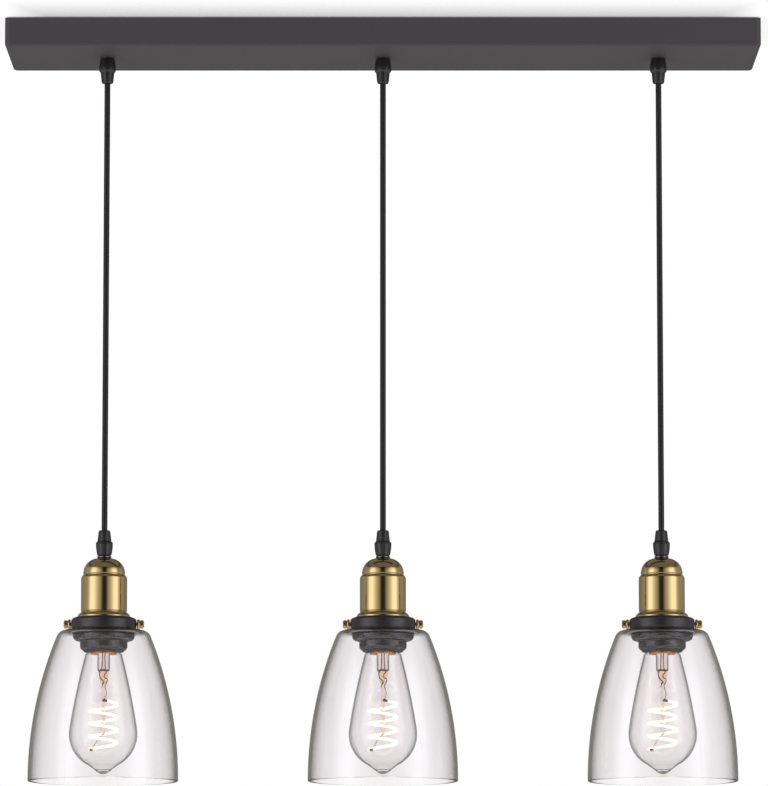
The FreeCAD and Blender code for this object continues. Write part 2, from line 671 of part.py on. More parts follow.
def bulb_outline(inset):
    """The teardrop's outline from its neck to the root of its pip, moved in by the glass's thickness."""
    neck = BULB_CAP_RIM
    centre = (0, BULB_CENTRE)
    belly = BULB_RADIUS - inset
    flank_deg = 8.9
    root_deg = -62.5
    flank_end = on_arc(centre, belly, flank_deg)
    shoulder = (BULB_SHOULDER_RADIUS - inset, neck - 6.3)
    # the long flank bows out a little between the shoulder and the belly
    bow = [
        (
            shoulder[0] + (flank_end[0] - shoulder[0]) * part + 3.6 * part * (1 - part),
            shoulder[1] + (flank_end[1] - shoulder[1]) * part,
        )
        for part in (0.25, 0.5, 0.75)
    ]
    return [
        (BULB_NECK_RADIUS - inset, neck),
        (BULB_NECK_RADIUS + 0.3 - inset, neck - 2.0),
        ((BULB_NECK_RADIUS + 3.4 - inset, neck - 3.5), shoulder),
        (bow[0], bow[1]),
        (bow[2], flank_end),
        (arc_middle(centre, belly, flank_deg, root_deg), on_arc(centre, belly, root_deg)),
    ]


def bulb_glass():
    """The bulb's clear envelope, drawn out at the bottom to a blunt, sealed pip."""
    neck = BULB_CAP_RIM
    pip = BULB_BOTTOM - BULB_PIP_LENGTH
    pip_root = (7.6, pip + 4.0)
    outer = turned(
        (0, neck),
        *bulb_outline(0),
        pip_root,
        ((4.6, pip + 1.5), (1.2, pip + 0.1)),
        (0, pip),
    )
    inside = bulb_outline(BULB_WALL)
    inner = turned(
        (0, neck + 0.01),
        (inside[0][0], neck + 0.01),
        inside[1],
        *inside[2],
        *inside[3:],
        (7.0, pip + 5.0),
        (3.0, pip + 3.0),
        (0, pip + 2.8),
    )
    return outer.cut(inner)


def bulb_cap():
    """The bulb's hollow screw base with its insulator cone and contact button."""
    rim = BULB_CAP_RIM
    top = rim + BULB_CAP_LENGTH
    bore = BULB_CAP_RADIUS - BULB_CAP_WALL
    floor = top - 3.0
    return turned(
        (0, floor),
        (bore, floor),
        (bore, rim),
        (BULB_CAP_RADIUS + 0.3, rim),
        (BULB_CAP_RADIUS + 0.3, rim + 1.0),
        (BULB_CAP_RADIUS, rim + 1.6),
        (BULB_CAP_RADIUS, top - 1.5),
        (BULB_CAP_RADIUS - 1.5, top),
        (6.0, top + 3.0),
        (4.6, top + 3.0),
        ((3.4, top + 4.0), (1.6, top + 4.3)),
        (0, top + 4.3),
    )


def winding(turn, top):
    """A point of the spiral's centre line after a number of turns, and the way the wire runs there."""
    angle = 2 * math.pi * turn + math.radians(FILAMENT_START_DEG)
    pitch = FILAMENT_HEIGHT / FILAMENT_TURNS
    outward = FreeCAD.Vector(math.cos(angle), math.sin(angle), 0)
    forward = UP.cross(outward)
    point = outward * FILAMENT_RADIUS + UP * (top - pitch * turn)
    along = forward * (2 * math.pi * FILAMENT_RADIUS) - UP * pitch
    return point, along.normalize()


def arc_from(start, corner, end):
    """The arc between two points whose tangents meet in a corner at equal distances."""
    middle = (start + end) * 0.5
    cosine = (end - start).Length / 2 / (corner - start).Length
    return Part.Arc(start, middle + (corner - middle) * (cosine / (1 + cosine)), end).toShape()


def biarc(start, leaving, end, arriving):
    """Two tangent arcs from one point to another that leave and arrive in the given directions."""
    chord = end - start
    both = chord.dot(leaving + arriving)
    bend = 2 * (1 - leaving.dot(arriving))
    reach = (math.sqrt(both ** 2 + bend * chord.dot(chord)) - both) / bend
    first = start + leaving * reach
    second = end - arriving * reach
    joint = (first + second) * 0.5
    return [arc_from(start, first, joint), arc_from(joint, second, end)]


def spiral(top):
    """The filament: one wire wound down a cylinder, each quarter turn a pair of tangent arcs."""
    quarters = round(4 * FILAMENT_TURNS)
    stations = [winding(i / 4, top) for i in range(quarters + 1)]
    first, leaving = stations[0]
    last, arriving = stations[-1]
    path = [Part.makeLine(first - leaving * FILAMENT_WIRE, first)]
    for (start, out), (end, into) in zip(stations, stations[1:]):
        path += biarc(start, out, end, into)
    path.append(Part.makeLine(last, last + arriving * FILAMENT_WIRE))
    foot = first - leaving * FILAMENT_WIRE
    side = FreeCAD.Vector(foot.x, foot.y, 0).cross(leaving).normalize()
    out = leaving.cross(side)
    turns = [2 * math.pi * (i + 0.5) / FILAMENT_SIDES for i in range(FILAMENT_SIDES)]
    reach = FILAMENT_WIRE / 2
    corners = [foot + side * reach * math.cos(a) + out * reach * math.sin(a) for a in turns]
    section = Part.makePolygon(corners + corners[:1])
    points = [point for point, _ in stations]
    gap = min((a - b).Length for i, a in enumerate(points) for b in points[i + 3:]) - FILAMENT_WIRE
    print("filament's least gap to itself", round(gap, 2))
    return Part.Wire(path).makePipeShell([section], True, False)


def lead_to(start, station, way):
    """A support wire from the stem or the post to one end of the filament, with the clip there."""
    point, along = station
    outward = along * way
    butt = point + outward * (FILAMENT_WIRE + 0.05)
    clip = Part.makeCylinder(CLIP_RADIUS, CLIP_LENGTH, butt, outward)
    run = butt + outward * (CLIP_LENGTH / 2) - start
    return [Part.makeCylinder(LEAD_RADIUS, run.Length, start, run), clip]


def bulb_filament():
    """The glass stem with its pinch, the support post with its wires, and the spiral round it."""
    stem_top = BULB_CAP_RIM
    pinch = stem_top - 19.5
    pinch_end = pinch - 11.0
    post_end = pinch_end - 48.0
    coil_top = pinch_end - 17.5
    stem = turned(
        (0, stem_top),
        (8.5, stem_top),
        (5.8, stem_top - 5.0),
        (5.8, pinch + 1.5),
        (4.2, pinch),
        (0, pinch),
    )
    blade = Part.makeBox(8.0, 3.0, pinch - pinch_end, FreeCAD.Vector(-4.0, -1.5, pinch_end))
    post = turned(
        (0, pinch - 2),
        (1.4, pinch - 2),
        (POST_RADIUS, pinch_end - 3),
        (POST_RADIUS, post_end + 1),
        (POST_RADIUS - 1, post_end),
        (0, post_end),
    )
    upper_lead = lead_to(FreeCAD.Vector(2.6, 0, pinch_end + 1), winding(0, coil_top), -1)
    lower_lead = lead_to(FreeCAD.Vector(0, 0, post_end + 1.5), winding(FILAMENT_TURNS, coil_top), 1)
    mount = stem.fuse([blade, post, *upper_lead, *lower_lead]).removeSplitter()
    return [mount, spiral(coil_top)]


def node_name(piece, number):
    """The file name of one pendant's piece, such as cord_2 for the middle pendant."""
    return f"{piece}_{number}"


def write(name, solids):
    """One STEP file holding a piece, or a group of separate pieces."""
    shape = solids if isinstance(solids, Part.Shape) else Part.makeCompound(solids)
    shape.exportStep(os.path.join("parts", name + ".step"))
    volume = round(shape.Volume / 1000, 3)
    print(name, "solids", len(shape.Solids), "volume cm3", volume, "valid", shape.isValid())


def pendant_pieces():
    """Every piece of one pendant, on the Z axis."""
    return {
        "upper_grip_body": raised(grip_body(UPPER_STUD_LENGTH), UPPER_MOUTH),
        "upper_grip_cap": raised(upper_cap(), UPPER_MOUTH),
        "grip_insert": grip_insert(),
        "cord": cord(),
        "lower_grip_cap": facing_up(grip_cap(), LOWER_MOUTH),
        "lower_grip_body": facing_up(grip_body(LOWER_STUD_LENGTH), LOWER_MOUTH),
        "grip_washer": grip_washer(),
        "socket_cup": socket_cup(),
        "shade_ring": shade_ring(),
        "thumbscrew_left": thumbscrew(-1),
        "thumbscrew_right": thumbscrew(1),
        "glass_shade": glass_shade(),
        "shade_collar": shade_collar(),
        "lampholder": lampholder(),
        "lamp_contacts": lamp_contacts(),
        "bulb_glass": bulb_glass(),
        "bulb_cap": bulb_cap(),
        "bulb_filament": bulb_filament(),
    }


def main():
    os.makedirs("parts", exist_ok=True)
    write("canopy", canopy())
    write("mounting_bar", mounting_bar())
    write("bar_screws", bar_screws())
    write("grip_nuts", grip_nuts())
    write("terminal_blocks", terminal_blocks())
    write("supply_wires", supply_wires())
    for piece, shape in pendant_pieces().items():
        solids = shape if isinstance(shape, list) else [shape]
        for number, x in enumerate(PENDANT_X, start=1):
            moved = [s.copy() for s in solids]
            for s in moved:
                s.translate(FreeCAD.Vector(x, 0, 0))
            write(node_name(piece, number), moved if len(moved) > 1 else moved[0])
    section = math.pi * CORD_RADIUS ** 2
    print("cord free length", CORD_FREE_LENGTH, "tube volume", round(section * CORD_FREE_LENGTH / 1000, 3))
    print("rim", round(SHADE_RIM, 2), "bulb tip", round(BULB_BOTTOM - BULB_PIP_LENGTH, 2))


main()
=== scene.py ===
# %% [markdown]
# # A linear island pendant, built round a fixed frame
# The light is a long black tray against the ceiling, from which three clear bells hang on cords.
# The frame already holds every rigid piece at its real size, so this file only makes the looks:
# it models what the eye rests on, and gives every surface its finish. Each step has a short text
# and a few lines of code, and can be read by itself.

# %% Load the frame
import math

import bmesh
import bpy
from mathutils import Matrix, Vector


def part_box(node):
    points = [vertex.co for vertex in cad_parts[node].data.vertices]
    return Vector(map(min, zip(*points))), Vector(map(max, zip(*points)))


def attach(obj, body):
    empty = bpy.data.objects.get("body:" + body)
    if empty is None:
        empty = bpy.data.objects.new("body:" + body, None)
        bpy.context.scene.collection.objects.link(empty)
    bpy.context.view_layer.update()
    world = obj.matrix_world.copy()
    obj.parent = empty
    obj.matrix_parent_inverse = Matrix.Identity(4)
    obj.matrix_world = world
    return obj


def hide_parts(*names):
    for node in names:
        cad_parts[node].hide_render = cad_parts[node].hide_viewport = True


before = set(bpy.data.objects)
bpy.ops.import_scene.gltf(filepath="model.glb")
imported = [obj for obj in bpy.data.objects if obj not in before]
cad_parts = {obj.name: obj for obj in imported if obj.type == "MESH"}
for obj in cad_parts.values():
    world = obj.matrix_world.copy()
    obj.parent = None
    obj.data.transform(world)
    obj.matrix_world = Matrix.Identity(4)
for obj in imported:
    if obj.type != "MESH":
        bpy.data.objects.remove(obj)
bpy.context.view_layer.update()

MM = 0.001
PENDANTS = (1, 2, 3)


def middle(node):
    """The middle of a frame node's box."""
    low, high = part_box(node)
    return (low + high) / 2


AXIS_X = {number: round(middle(f"cord_{number}").x, 5) for number in PENDANTS}
print("the pendants hang at x =", AXIS_X)

# %% [markdown]
# ## The heights
# The three pendants are alike, so each piece is modelled once, on the Z axis, and copied. Its height
# comes from the frame's middle pendant, so that a piece always sits where the frame holds it.

# %% Heights from the frame
GRIP_MOUTH_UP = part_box("upper_grip_cap_2")[0].z
GRIP_MOUTH_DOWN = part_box("lower_grip_cap_2")[1].z
WASHER_LOW, WASHER_HIGH = (corner.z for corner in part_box("grip_washer_2"))
CUP_LOW, CUP_TOP = (corner.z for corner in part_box("socket_cup_2"))
RING_LOW, RING_TOP = (corner.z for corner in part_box("shade_ring_2"))
THUMB_Z = middle("thumbscrew_right_2").z
SHADE_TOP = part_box("glass_shade_2")[1].z
COLLAR_LOW, COLLAR_TOP = (corner.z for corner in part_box("shade_collar_2"))
HOLDER_LOW, HOLDER_TOP = (corner.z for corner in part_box("lampholder_2"))
BULB_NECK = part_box("bulb_glass_2")[1].z
CAP_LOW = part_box("bulb_cap_2")[0].z
print("cup top", round(CUP_TOP, 4), "glass top", round(SHADE_TOP, 4), "bulb neck", round(BULB_NECK, 4))

# %% [markdown]
# ## The camera
# The photograph isn't one perspective: its pendants look as if seen from half a metre away, and its
# tray from two metres. No single camera shows both, so this one stands five metres away, where a lens
# of about 250 mm fills the picture and the cords look upright. It looks up by the angle at which the
# picture's middle lies, so no shift is needed.

# %% Camera
CAMERA_PLACE = Vector((0.001, -5.049, -1.000))
CAMERA_PITCH_DEG = 7.386
bpy.ops.object.camera_add(location=CAMERA_PLACE, rotation=(math.radians(90 + CAMERA_PITCH_DEG), 0, 0))
camera = bpy.context.object
camera.name = "camera"
camera.data.lens = 248.9
camera.data.sensor_width = 36
camera.data.clip_start = 0.1
camera.data.clip_end = 100
bpy.context.scene.camera = camera
print("camera looks up by", CAMERA_PITCH_DEG, "degrees")

# %% [markdown]
# ## Tools for finishes
# A finish is a Principled shader whose colour, roughness and bump come from patterns. A few small
# helpers keep that readable. Patterns on turned pieces read the attribute called place, which holds
# each point's position on its own pendant's axis, so that all three pendants look alike. The frame
# has plain materials of its own, so every finish is looked up in a list of this file, not by name.

# %% Finish helpers
FINISHES = {}


def new_finish(name, colour, roughness, metallic=0.0):
    """A material with a Principled shader. Returns its node tree and the shader."""
    material = bpy.data.materials.new("look_" + name)
    material.use_nodes = True
    FINISHES[name] = material
    tree = material.node_tree
    shader = tree.nodes["Principled BSDF"]
    shader.inputs["Base Color"].default_value = (*colour, 1)
    shader.inputs["Roughness"].default_value = roughness
    shader.inputs["Metallic"].default_value = metallic
    return tree, shader


def add_node(tree, kind, **values):
    """A node, with its inputs set by name; a space in an input's name is written as an underscore."""
    made = tree.nodes.new("ShaderNode" + kind)
    for name, value in values.items():
        made.inputs[name.replace("_", " ")].default_value = value
    return made


def calculate(tree, operation, first, second=None):
    """A Math node. Each of its two inputs is a number or another node's output."""
    node = tree.nodes.new("ShaderNodeMath")
    node.operation = operation
    for socket, value in zip(node.inputs, (first, second)):
        if isinstance(value, (int, float)):
            socket.default_value = value
        elif value is not None:
            tree.links.new(value, socket)
    return node.outputs[0]


def place_of(tree, own_axis=True):
    """The position that patterns follow: on the piece's own axis, or in the whole object."""
    if own_axis:
        source = add_node(tree, "Attribute")
        source.attribute_name = "place"
        return source.outputs["Vector"]
    return add_node(tree, "TexCoord").outputs["Object"]


def noise_of(tree, place, scale, stretch=(1, 1, 1), detail=3.0):
    """Noise on a position that is stretched first. Returns its value from 0 to 1."""
    mapping = add_node(tree, "Mapping", Scale=stretch)
    tree.links.new(place, mapping.inputs["Vector"])
    noise = add_node(tree, "TexNoise", Scale=scale, Detail=detail)
    tree.links.new(mapping.outputs["Vector"], noise.inputs["Vector"])
    return noise.outputs["Fac"]


def between(tree, value, low, high, start=0.0, end=1.0):
    """A value from its own range, 0 to 1 unless given, spread over another range."""
    spread = add_node(tree, "MapRange", From_Min=start, From_Max=end, To_Min=low, To_Max=high)
    tree.links.new(value, spread.inputs["Value"])
    return spread.outputs["Result"]


def tint(tree, shader, value, first, second):
    """Lets a finish's colour change between two others."""
    mix = tree.nodes.new("ShaderNodeMix")
    mix.data_type = "RGBA"
    mix.inputs["A"].default_value = (*first, 1)
    mix.inputs["B"].default_value = (*second, 1)
    tree.links.new(value, mix.inputs["Factor"])
    tree.links.new(mix.outputs["Result"], shader.inputs["Base Color"])


def grained(name, colour, roughness, metallic, scale, gloss, own_axis=True, stretch=(1, 1, 1), detail=3.0):
    """A finish whose roughness follows noise between two values. Returns tree, shader and noise."""
    tree, shader = new_finish(name, colour, roughness, metallic)
    grain = noise_of(tree, place_of(tree, own_axis), scale, stretch, detail)
    tree.links.new(between(tree, grain, *gloss), shader.inputs["Roughness"])
    return tree, shader, grain


def add_bump(tree, shader, height, distance, strength):
    """Bump from a height that runs from 0 to 1, in metres of depth."""
    bump = add_node(tree, "Bump", Strength=strength, Distance=distance)
    tree.links.new(height, bump.inputs["Height"])
    tree.links.new(bump.outputs["Normal"], shader.inputs["Normal"])


def mix_shaders(tree, factor, first, second):
    """Shows the first shader where the factor is 0, and the second where it is 1."""
    mix = tree.nodes.new("ShaderNodeMixShader")
    tree.links.new(factor, mix.inputs["Fac"])
    tree.links.new(first.outputs[0], mix.inputs[1])
    tree.links.new(second.outputs[0], mix.inputs[2])
    tree.links.new(mix.outputs[0], tree.nodes["Material Output"].inputs["Surface"])


print("finish helpers ready")

# %% [markdown]
# ## The studio
# The background is plain white and so is the floor, far below. White comes from the world's colour
# as the camera, mirrors and glass see it, while its light on rough surfaces is weaker, so that dark
# paint stays dark. Two tall soft lamps stand in front of the pendants, to the left and right, and
# light the paint. Neither the camera, nor glass, nor a mirror sees them.


# %% World and lamps
def seen_directly(tree):
    """A value that is 1 for the camera's rays, also past glass, and the node that it comes from."""
    ray = add_node(tree, "LightPath")
    return calculate(tree, "MAXIMUM", ray.outputs["Is Camera Ray"], ray.outputs["Is Transmission Ray"]), ray


WORLD_LIGHT = 0.42
world = bpy.data.worlds.new("studio")
bpy.context.scene.world = world
world.use_nodes = True
tree = world.node_tree
sky = tree.nodes["Background"]
sky.inputs["Color"].default_value = (1, 1, 1, 1)
seen, ray = seen_directly(tree)
mirrored = calculate(tree, "MAXIMUM", seen, ray.outputs["Is Glossy Ray"])
tree.links.new(between(tree, mirrored, WORLD_LIGHT, 1.0), sky.inputs["Strength"])

LAMP_RADIANCE = 1.7
LAMP_SIZE = (1.5, 2.2)
LAMP_SIDE, LAMP_FRONT, LAMP_HEIGHT = 1.45, -1.35, -0.45
LAMP_TARGET = Vector((0, 0, -0.45))
LAMP_POWER = LAMP_RADIANCE * math.pi * LAMP_SIZE[0] * LAMP_SIZE[1]
for side, name in ((-1, "lamp_left"), (1, "lamp_right")):
    place = Vector((side * LAMP_SIDE, LAMP_FRONT, LAMP_HEIGHT))
    aim = (LAMP_TARGET - place).to_track_quat("-Z", "Y").to_euler()
    bpy.ops.object.light_add(type="AREA", location=place, rotation=aim)
    lamp = bpy.context.object
    lamp.name = name
    lamp.data.shape = "RECTANGLE"
    lamp.data.size, lamp.data.size_y = LAMP_SIZE
    lamp.data.energy = LAMP_POWER
    lamp.visible_camera = False
    lamp.visible_glossy = False
    lamp.visible_transmission = False
print("lamps of", round(LAMP_POWER, 1), "W")


# %% Floor and ceiling
def stage_paint(name, colour):
    """Dull paint that can glow white, and that anyone looking at its back sees through."""
    tree, shader = new_finish(name, colour, 1.0)
    shader.inputs["Specular IOR Level"].default_value = 0.0
    shader.inputs["Emission Color"].default_value = (1, 1, 1, 1)
    facing = add_node(tree, "NewGeometry")
    mix_shaders(tree, facing.outputs["Backfacing"], shader, add_node(tree, "BsdfTransparent"))
    return tree, shader, facing


def stand(piece, name, seen_by, *materials):
    """Names a surface that isn't part of the object. Only the named kinds of ray see it."""
    piece.name = name
    for kind in ("camera", "diffuse", "glossy", "transmission", "shadow", "volume_scatter"):
        setattr(piece, "visible_" + kind, kind in seen_by)
    for material in materials:
        piece.data.materials.append(material)
    return piece


FLOOR_Z = -2.3
FLOOR_GREY = (0.58, 0.58, 0.58)
FLOOR_GLOW = 0.62
tree, shader, facing = stage_paint("floor_paint", FLOOR_GREY)
seen, ray = seen_directly(tree)
tint(tree, shader, seen, FLOOR_GREY, (0.95, 0.95, 0.95))
tree.links.new(calculate(tree, "MULTIPLY", seen, FLOOR_GLOW), shader.inputs["Emission Strength"])
bpy.ops.mesh.primitive_plane_add(size=14, location=(0, 0, FLOOR_Z))
floor_seen_by = ("camera", "diffuse", "transmission", "shadow")
stand(bpy.context.object, "floor", floor_seen_by, FINISHES["floor_paint"])

# the ceiling is seen from below only; its glow is dimmer close to the tray, a painted shadow of the tray,
# which ends a little before the tray's ends do
SHADOW_END = 40 * MM
SHADOW_REACH = 82 * MM
CEILING_SHADOW_GLOW, CEILING_LIGHT = 0.25, 0.64
tray_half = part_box("canopy")[1]
tree, shader, facing = stage_paint("ceiling_paint", (0.9, 0.9, 0.9))
split = add_node(tree, "SeparateXYZ")
tree.links.new(facing.outputs["Position"], split.inputs[0])
from_middle = calculate(tree, "ABSOLUTE", split.outputs["X"])
past_end = calculate(tree, "SUBTRACT", from_middle, tray_half.x - SHADOW_END)
before = calculate(tree, "SUBTRACT", calculate(tree, "ABSOLUTE", split.outputs["Y"]), tray_half.y)
away = calculate(tree, "MAXIMUM", calculate(tree, "MULTIPLY", past_end, 2), before)
# the glow rises from a painted shadow next to the tray to full white farther away
light = between(tree, away, CEILING_SHADOW_GLOW, CEILING_LIGHT, start=0, end=SHADOW_REACH)
tree.links.new(light, shader.inputs["Emission Strength"])
bpy.ops.mesh.primitive_plane_add(size=1, location=(0, 0, MM), rotation=(math.pi, 0, 0))
bpy.context.object.scale = (1.3, 0.5, 1)
stand(bpy.context.object, "ceiling", ("camera",), FINISHES["ceiling_paint"])
print("stage ready, floor at", FLOOR_Z)

# %% [markdown]
# ## What the polished metal mirrors
# A brass cup shows little of its own colour: it shows the room, drawn together into stripes. The
# photograph's cups have a dark stripe in the middle, a bright one on each side of it, and dull edges,
# so the room was dark behind the camera, with a tall soft box on either side. A drum round the whole
# stage copies that room. Only mirrors see it. Its light depends on the angle from the camera's side,
# as a ramp with a few stops, and its lid is dim and its bottom bright. Dim corners of a room are
# warmer than its lamps, so the light's green and blue fall off a little faster than its red.

# %% The room as mirrors see it
DRUM_RADIUS = 3.2
DRUM_LOW, DRUM_HIGH = -2.25, 2.0
LID_LIGHT = 0.25
BOTTOM_LIGHT = 1.3
BOX_LIGHT = 2.1
WARMTH = (1.0, 1.03, 1.08)
ROOM_LIGHT = (
    (0, 0.04), (8, 0.05), (12, 0.21), (16, 0.38), (22, 0.6), (29, 0.8), (36, 1.1), (43, 1.5),
    (52, BOX_LIGHT), (70, BOX_LIGHT), (76, 1.4), (83, 0.85), (94, 0.55), (114, 0.5), (136, 0.34), (152, 0.27),
)


def glow(name, strength=1.0):
    """A glow that only rays show which a mirror has turned back; all others pass straight through."""
    material = bpy.data.materials.new(name)
    material.use_nodes = True
    material.cycles.emission_sampling = "NONE"
    tree = material.node_tree
    tree.nodes.remove(tree.nodes["Principled BSDF"])
    emission = add_node(tree, "Emission", Strength=strength)
    turned_back = calculate(tree, "GREATER_THAN", add_node(tree, "LightPath").outputs["Glossy Depth"], 0.5)
    mix_shaders(tree, turned_back, add_node(tree, "BsdfTransparent"), emission)
    return material, tree, emission


side_glow, tree, emission = glow("drum_side")
split = add_node(tree, "SeparateXYZ")
tree.links.new(add_node(tree, "TexCoord").outputs["Object"], split.inputs[0])
sideways = calculate(tree, "ABSOLUTE", split.outputs["X"])
forwards = calculate(tree, "MULTIPLY", split.outputs["Y"], -1)
angle = calculate(tree, "DIVIDE", calculate(tree, "ARCTAN2", sideways, forwards), math.pi)
ramp = add_node(tree, "ValToRGB")
stops = ramp.color_ramp.elements
stops.remove(stops[0])
stops[0].position = 0
for degrees, light in ROOM_LIGHT:
    stop = stops[0] if degrees == 0 else stops.new(degrees / 180)
    stop.color = (*[light ** power / BOX_LIGHT for power in WARMTH], 1)
tree.links.new(angle, ramp.inputs["Fac"])
tree.links.new(ramp.outputs["Color"], emission.inputs["Color"])
# the light fades towards the lid
fade = between(tree, split.outputs["Z"], BOX_LIGHT, LID_LIGHT, start=0.9, end=DRUM_HIGH)
tree.links.new(fade, emission.inputs["Strength"])

bpy.ops.mesh.primitive_cylinder_add(
    vertices=90, radius=DRUM_RADIUS, depth=DRUM_HIGH - DRUM_LOW, location=(0, 0, (DRUM_LOW + DRUM_HIGH) / 2)
)
glows = (side_glow, glow("drum_lid", LID_LIGHT)[0], glow("drum_bottom", BOTTOM_LIGHT)[0])
drum = stand(bpy.context.object, "room_drum", ("glossy", "transmission"), *glows)
for face in drum.data.polygons:
    if abs(face.normal.z) > 0.5:
        face.material_index = 1 if face.normal.z > 0 else 2
print("drum has", len(stops), "stops of light")

# %% [markdown]
# ## Tools for turned pieces
# Nearly every piece of a pendant is round, as it comes off a lathe, a spinning chuck or a glass
# mould. Its half section is drawn as a line from one vertex, extruded point by point, and the line
# is spun about the axis. Corners of the section get small rounds, because no real edge is sharp.
# Doubles are merged before the normals are recalculated, since spinning can turn a shape inside
# out. Sections are given in millimetres, as (radius, height).


# %% Section helpers
def arc(centre, radius, start_deg, end_deg, pieces):
    """Points on an arc of a section."""
    turn = [math.radians(start_deg + (end_deg - start_deg) * i / pieces) for i in range(pieces + 1)]
    return [(centre[0] + radius * math.cos(a), centre[1] + radius * math.sin(a)) for a in turn]


def curve_through(first, between_them, last, pieces):
    """Points on the circle's arc from one point through another to a third."""
    start = Vector(first)
    bend = Vector(between_them) - start
    chord = Vector(last) - start
    cross = 2 * (bend.x * chord.y - bend.y * chord.x)
    centre = start + Vector((
        (chord.y * bend.length_squared - bend.y * chord.length_squared) / cross,
        (bend.x * chord.length_squared - chord.x * bend.length_squared) / cross,
    ))
    turns = [math.degrees(math.atan2(*(Vector(p) - centre).yx)) for p in (first, between_them, last)]
    low, through, high = turns
    if not min(low, high) <= through <= max(low, high):
        high += 360 if high < low else -360
    return arc(centre, (start - centre).length, low, high, pieces)


def eased(corners, pieces=3):
    """A section from corners (radius, height, round). A corner without a round stays sharp."""
    points = []
    for i, corner in enumerate(corners):
        here = Vector(corner[:2])
        ease = corner[2] if len(corner) > 2 else 0
        if ease == 0 or i in (0, len(corners) - 1):
            points.append(tuple(here))
            continue
        before = Vector(corners[i - 1][:2]) - here
        after = Vector(corners[i + 1][:2]) - here
        start = here + before.normalized() * min(ease, before.length * 0.49)
        end = here + after.normalized() * min(ease, after.length * 0.49)
        for k in range(pieces + 1):
            t = k / pieces
            points.append(tuple(start * (1 - t) ** 2 + here * (2 * t * (1 - t)) + end * t ** 2))
    return points


print("a rounded corner has", len(eased([(0, 0), (1, 0, 0.2), (1, 1)])) - 2, "points")


# %% Modelling helpers
def begin(kind, **options):
    """Adds a primitive with nothing else selected, and returns it with its place in its mesh."""
    bpy.ops.object.select_all(action="DESELECT")
    getattr(bpy.ops.mesh, f"primitive_{kind}_add")(**options)
    bpy.ops.object.transform_apply(location=True, rotation=True, scale=True)
    return bpy.context.object


def choose(*pieces):
    """Selects pieces and nothing else, the first of them as the active one."""
    bpy.ops.object.select_all(action="DESELECT")
    for piece in pieces:
        piece.select_set(True)
    bpy.context.view_layer.objects.active = pieces[0]


def smooth(piece, angle_deg=32):
    """Shades a piece smooth, with sharp edges only where its faces meet at more than an angle."""
    choose(piece)
    bpy.ops.object.shade_smooth_by_angle(angle=math.radians(angle_deg))
    return piece


def turn_section(section, height, steps, angle_deg=32):
    """Draws a section at a height in metres and spins it about Z. Ends on the axis become poles."""
    points = [(radius * MM, height + drop * MM) for radius, drop in section]
    piece = begin("plane", size=MM, location=(points[0][0], 0, points[0][1]))
    bpy.ops.object.mode_set(mode="EDIT")
    bpy.ops.mesh.select_mode(type="VERT")
    bpy.ops.mesh.merge(type="CENTER")
    for last, point in zip(points, points[1:]):
        step = (point[0] - last[0], 0, point[1] - last[1])
        bpy.ops.mesh.extrude_region_move(TRANSFORM_OT_translate={"value": step})
    bpy.ops.mesh.select_all(action="SELECT")
    bpy.ops.mesh.spin(steps=steps, angle=math.tau, center=(0, 0, 0), axis=(0, 0, 1))
    bpy.ops.mesh.select_all(action="SELECT")
    bpy.ops.mesh.remove_doubles(threshold=2e-6)
    bpy.ops.mesh.normals_make_consistent(inside=False)
    bpy.ops.object.mode_set(mode="OBJECT")
    return smooth(piece, angle_deg)


def pick(piece, kind, test):
    """Selects in edit mode the verts, edges or faces that pass a test, and nothing else."""
    bpy.ops.mesh.select_mode(type={"verts": "VERT", "edges": "EDGE", "faces": "FACE"}[kind])
    bpy.ops.mesh.select_all(action="DESELECT")
    mesh = bmesh.from_edit_mesh(piece.data)
    for item in getattr(mesh, kind):
        if test(item):
            item.select_set(True)
    bmesh.update_edit_mesh(piece.data)


def sink(piece, test, slope, depth):
    """Sinks the faces that pass a test, in millimetres, with a narrow slope round them."""
    bpy.ops.object.mode_set(mode="EDIT")
    pick(piece, "faces", test)
    bpy.ops.mesh.inset(thickness=slope * MM, depth=-depth * MM)
    bpy.ops.object.mode_set(mode="OBJECT")


def apply_modifier(piece, kind, **settings):
    """Adds a modifier, sets it and applies it."""
    choose(piece)
    modifier = piece.modifiers.new(kind.lower(), kind)
    for setting, value in settings.items():
        setattr(modifier, setting, value)
    bpy.ops.object.modifier_apply(modifier=modifier.name)


def join(*pieces):
    """Makes one piece of several."""
    choose(*pieces)
    bpy.ops.object.join()
    return pieces[0]


def cut(piece, cutter, operation="DIFFERENCE"):
    """Cuts a piece with another one, which is used up."""
    apply_modifier(piece, "BOOLEAN", object=cutter, operation=operation, solver="EXACT")
    bpy.data.objects.remove(cutter)


def drill(piece, radius, depth, place, turn=(0, 0, 0), sides=48):
    """Cuts a round hole."""
    cut(piece, begin("cylinder", vertices=sides, radius=radius, depth=depth, location=place, rotation=turn))


def copied(pattern, matrix):
    """A copy of a piece with its own mesh, moved or turned in its mesh."""
    piece = pattern.copy()
    piece.data = pattern.data.copy()
    piece.data.transform(matrix)
    bpy.context.scene.collection.objects.link(piece)
    return piece


def moved_to(x, y, z):
    """The matrix of a move."""
    return Matrix.Translation((x, y, z))


print("modelling helpers ready")


# %% Helpers that put a piece in the object
def belong(piece, name, body, slot, finish, *nodes):
    """Names a piece, gives it its finish and makes it ride on a body in place of frame nodes."""
    piece.name = name
    piece.data.materials.clear()
    piece.data.materials.append(FINISHES[finish])
    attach(piece, body)
    if nodes:
        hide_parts(*nodes)


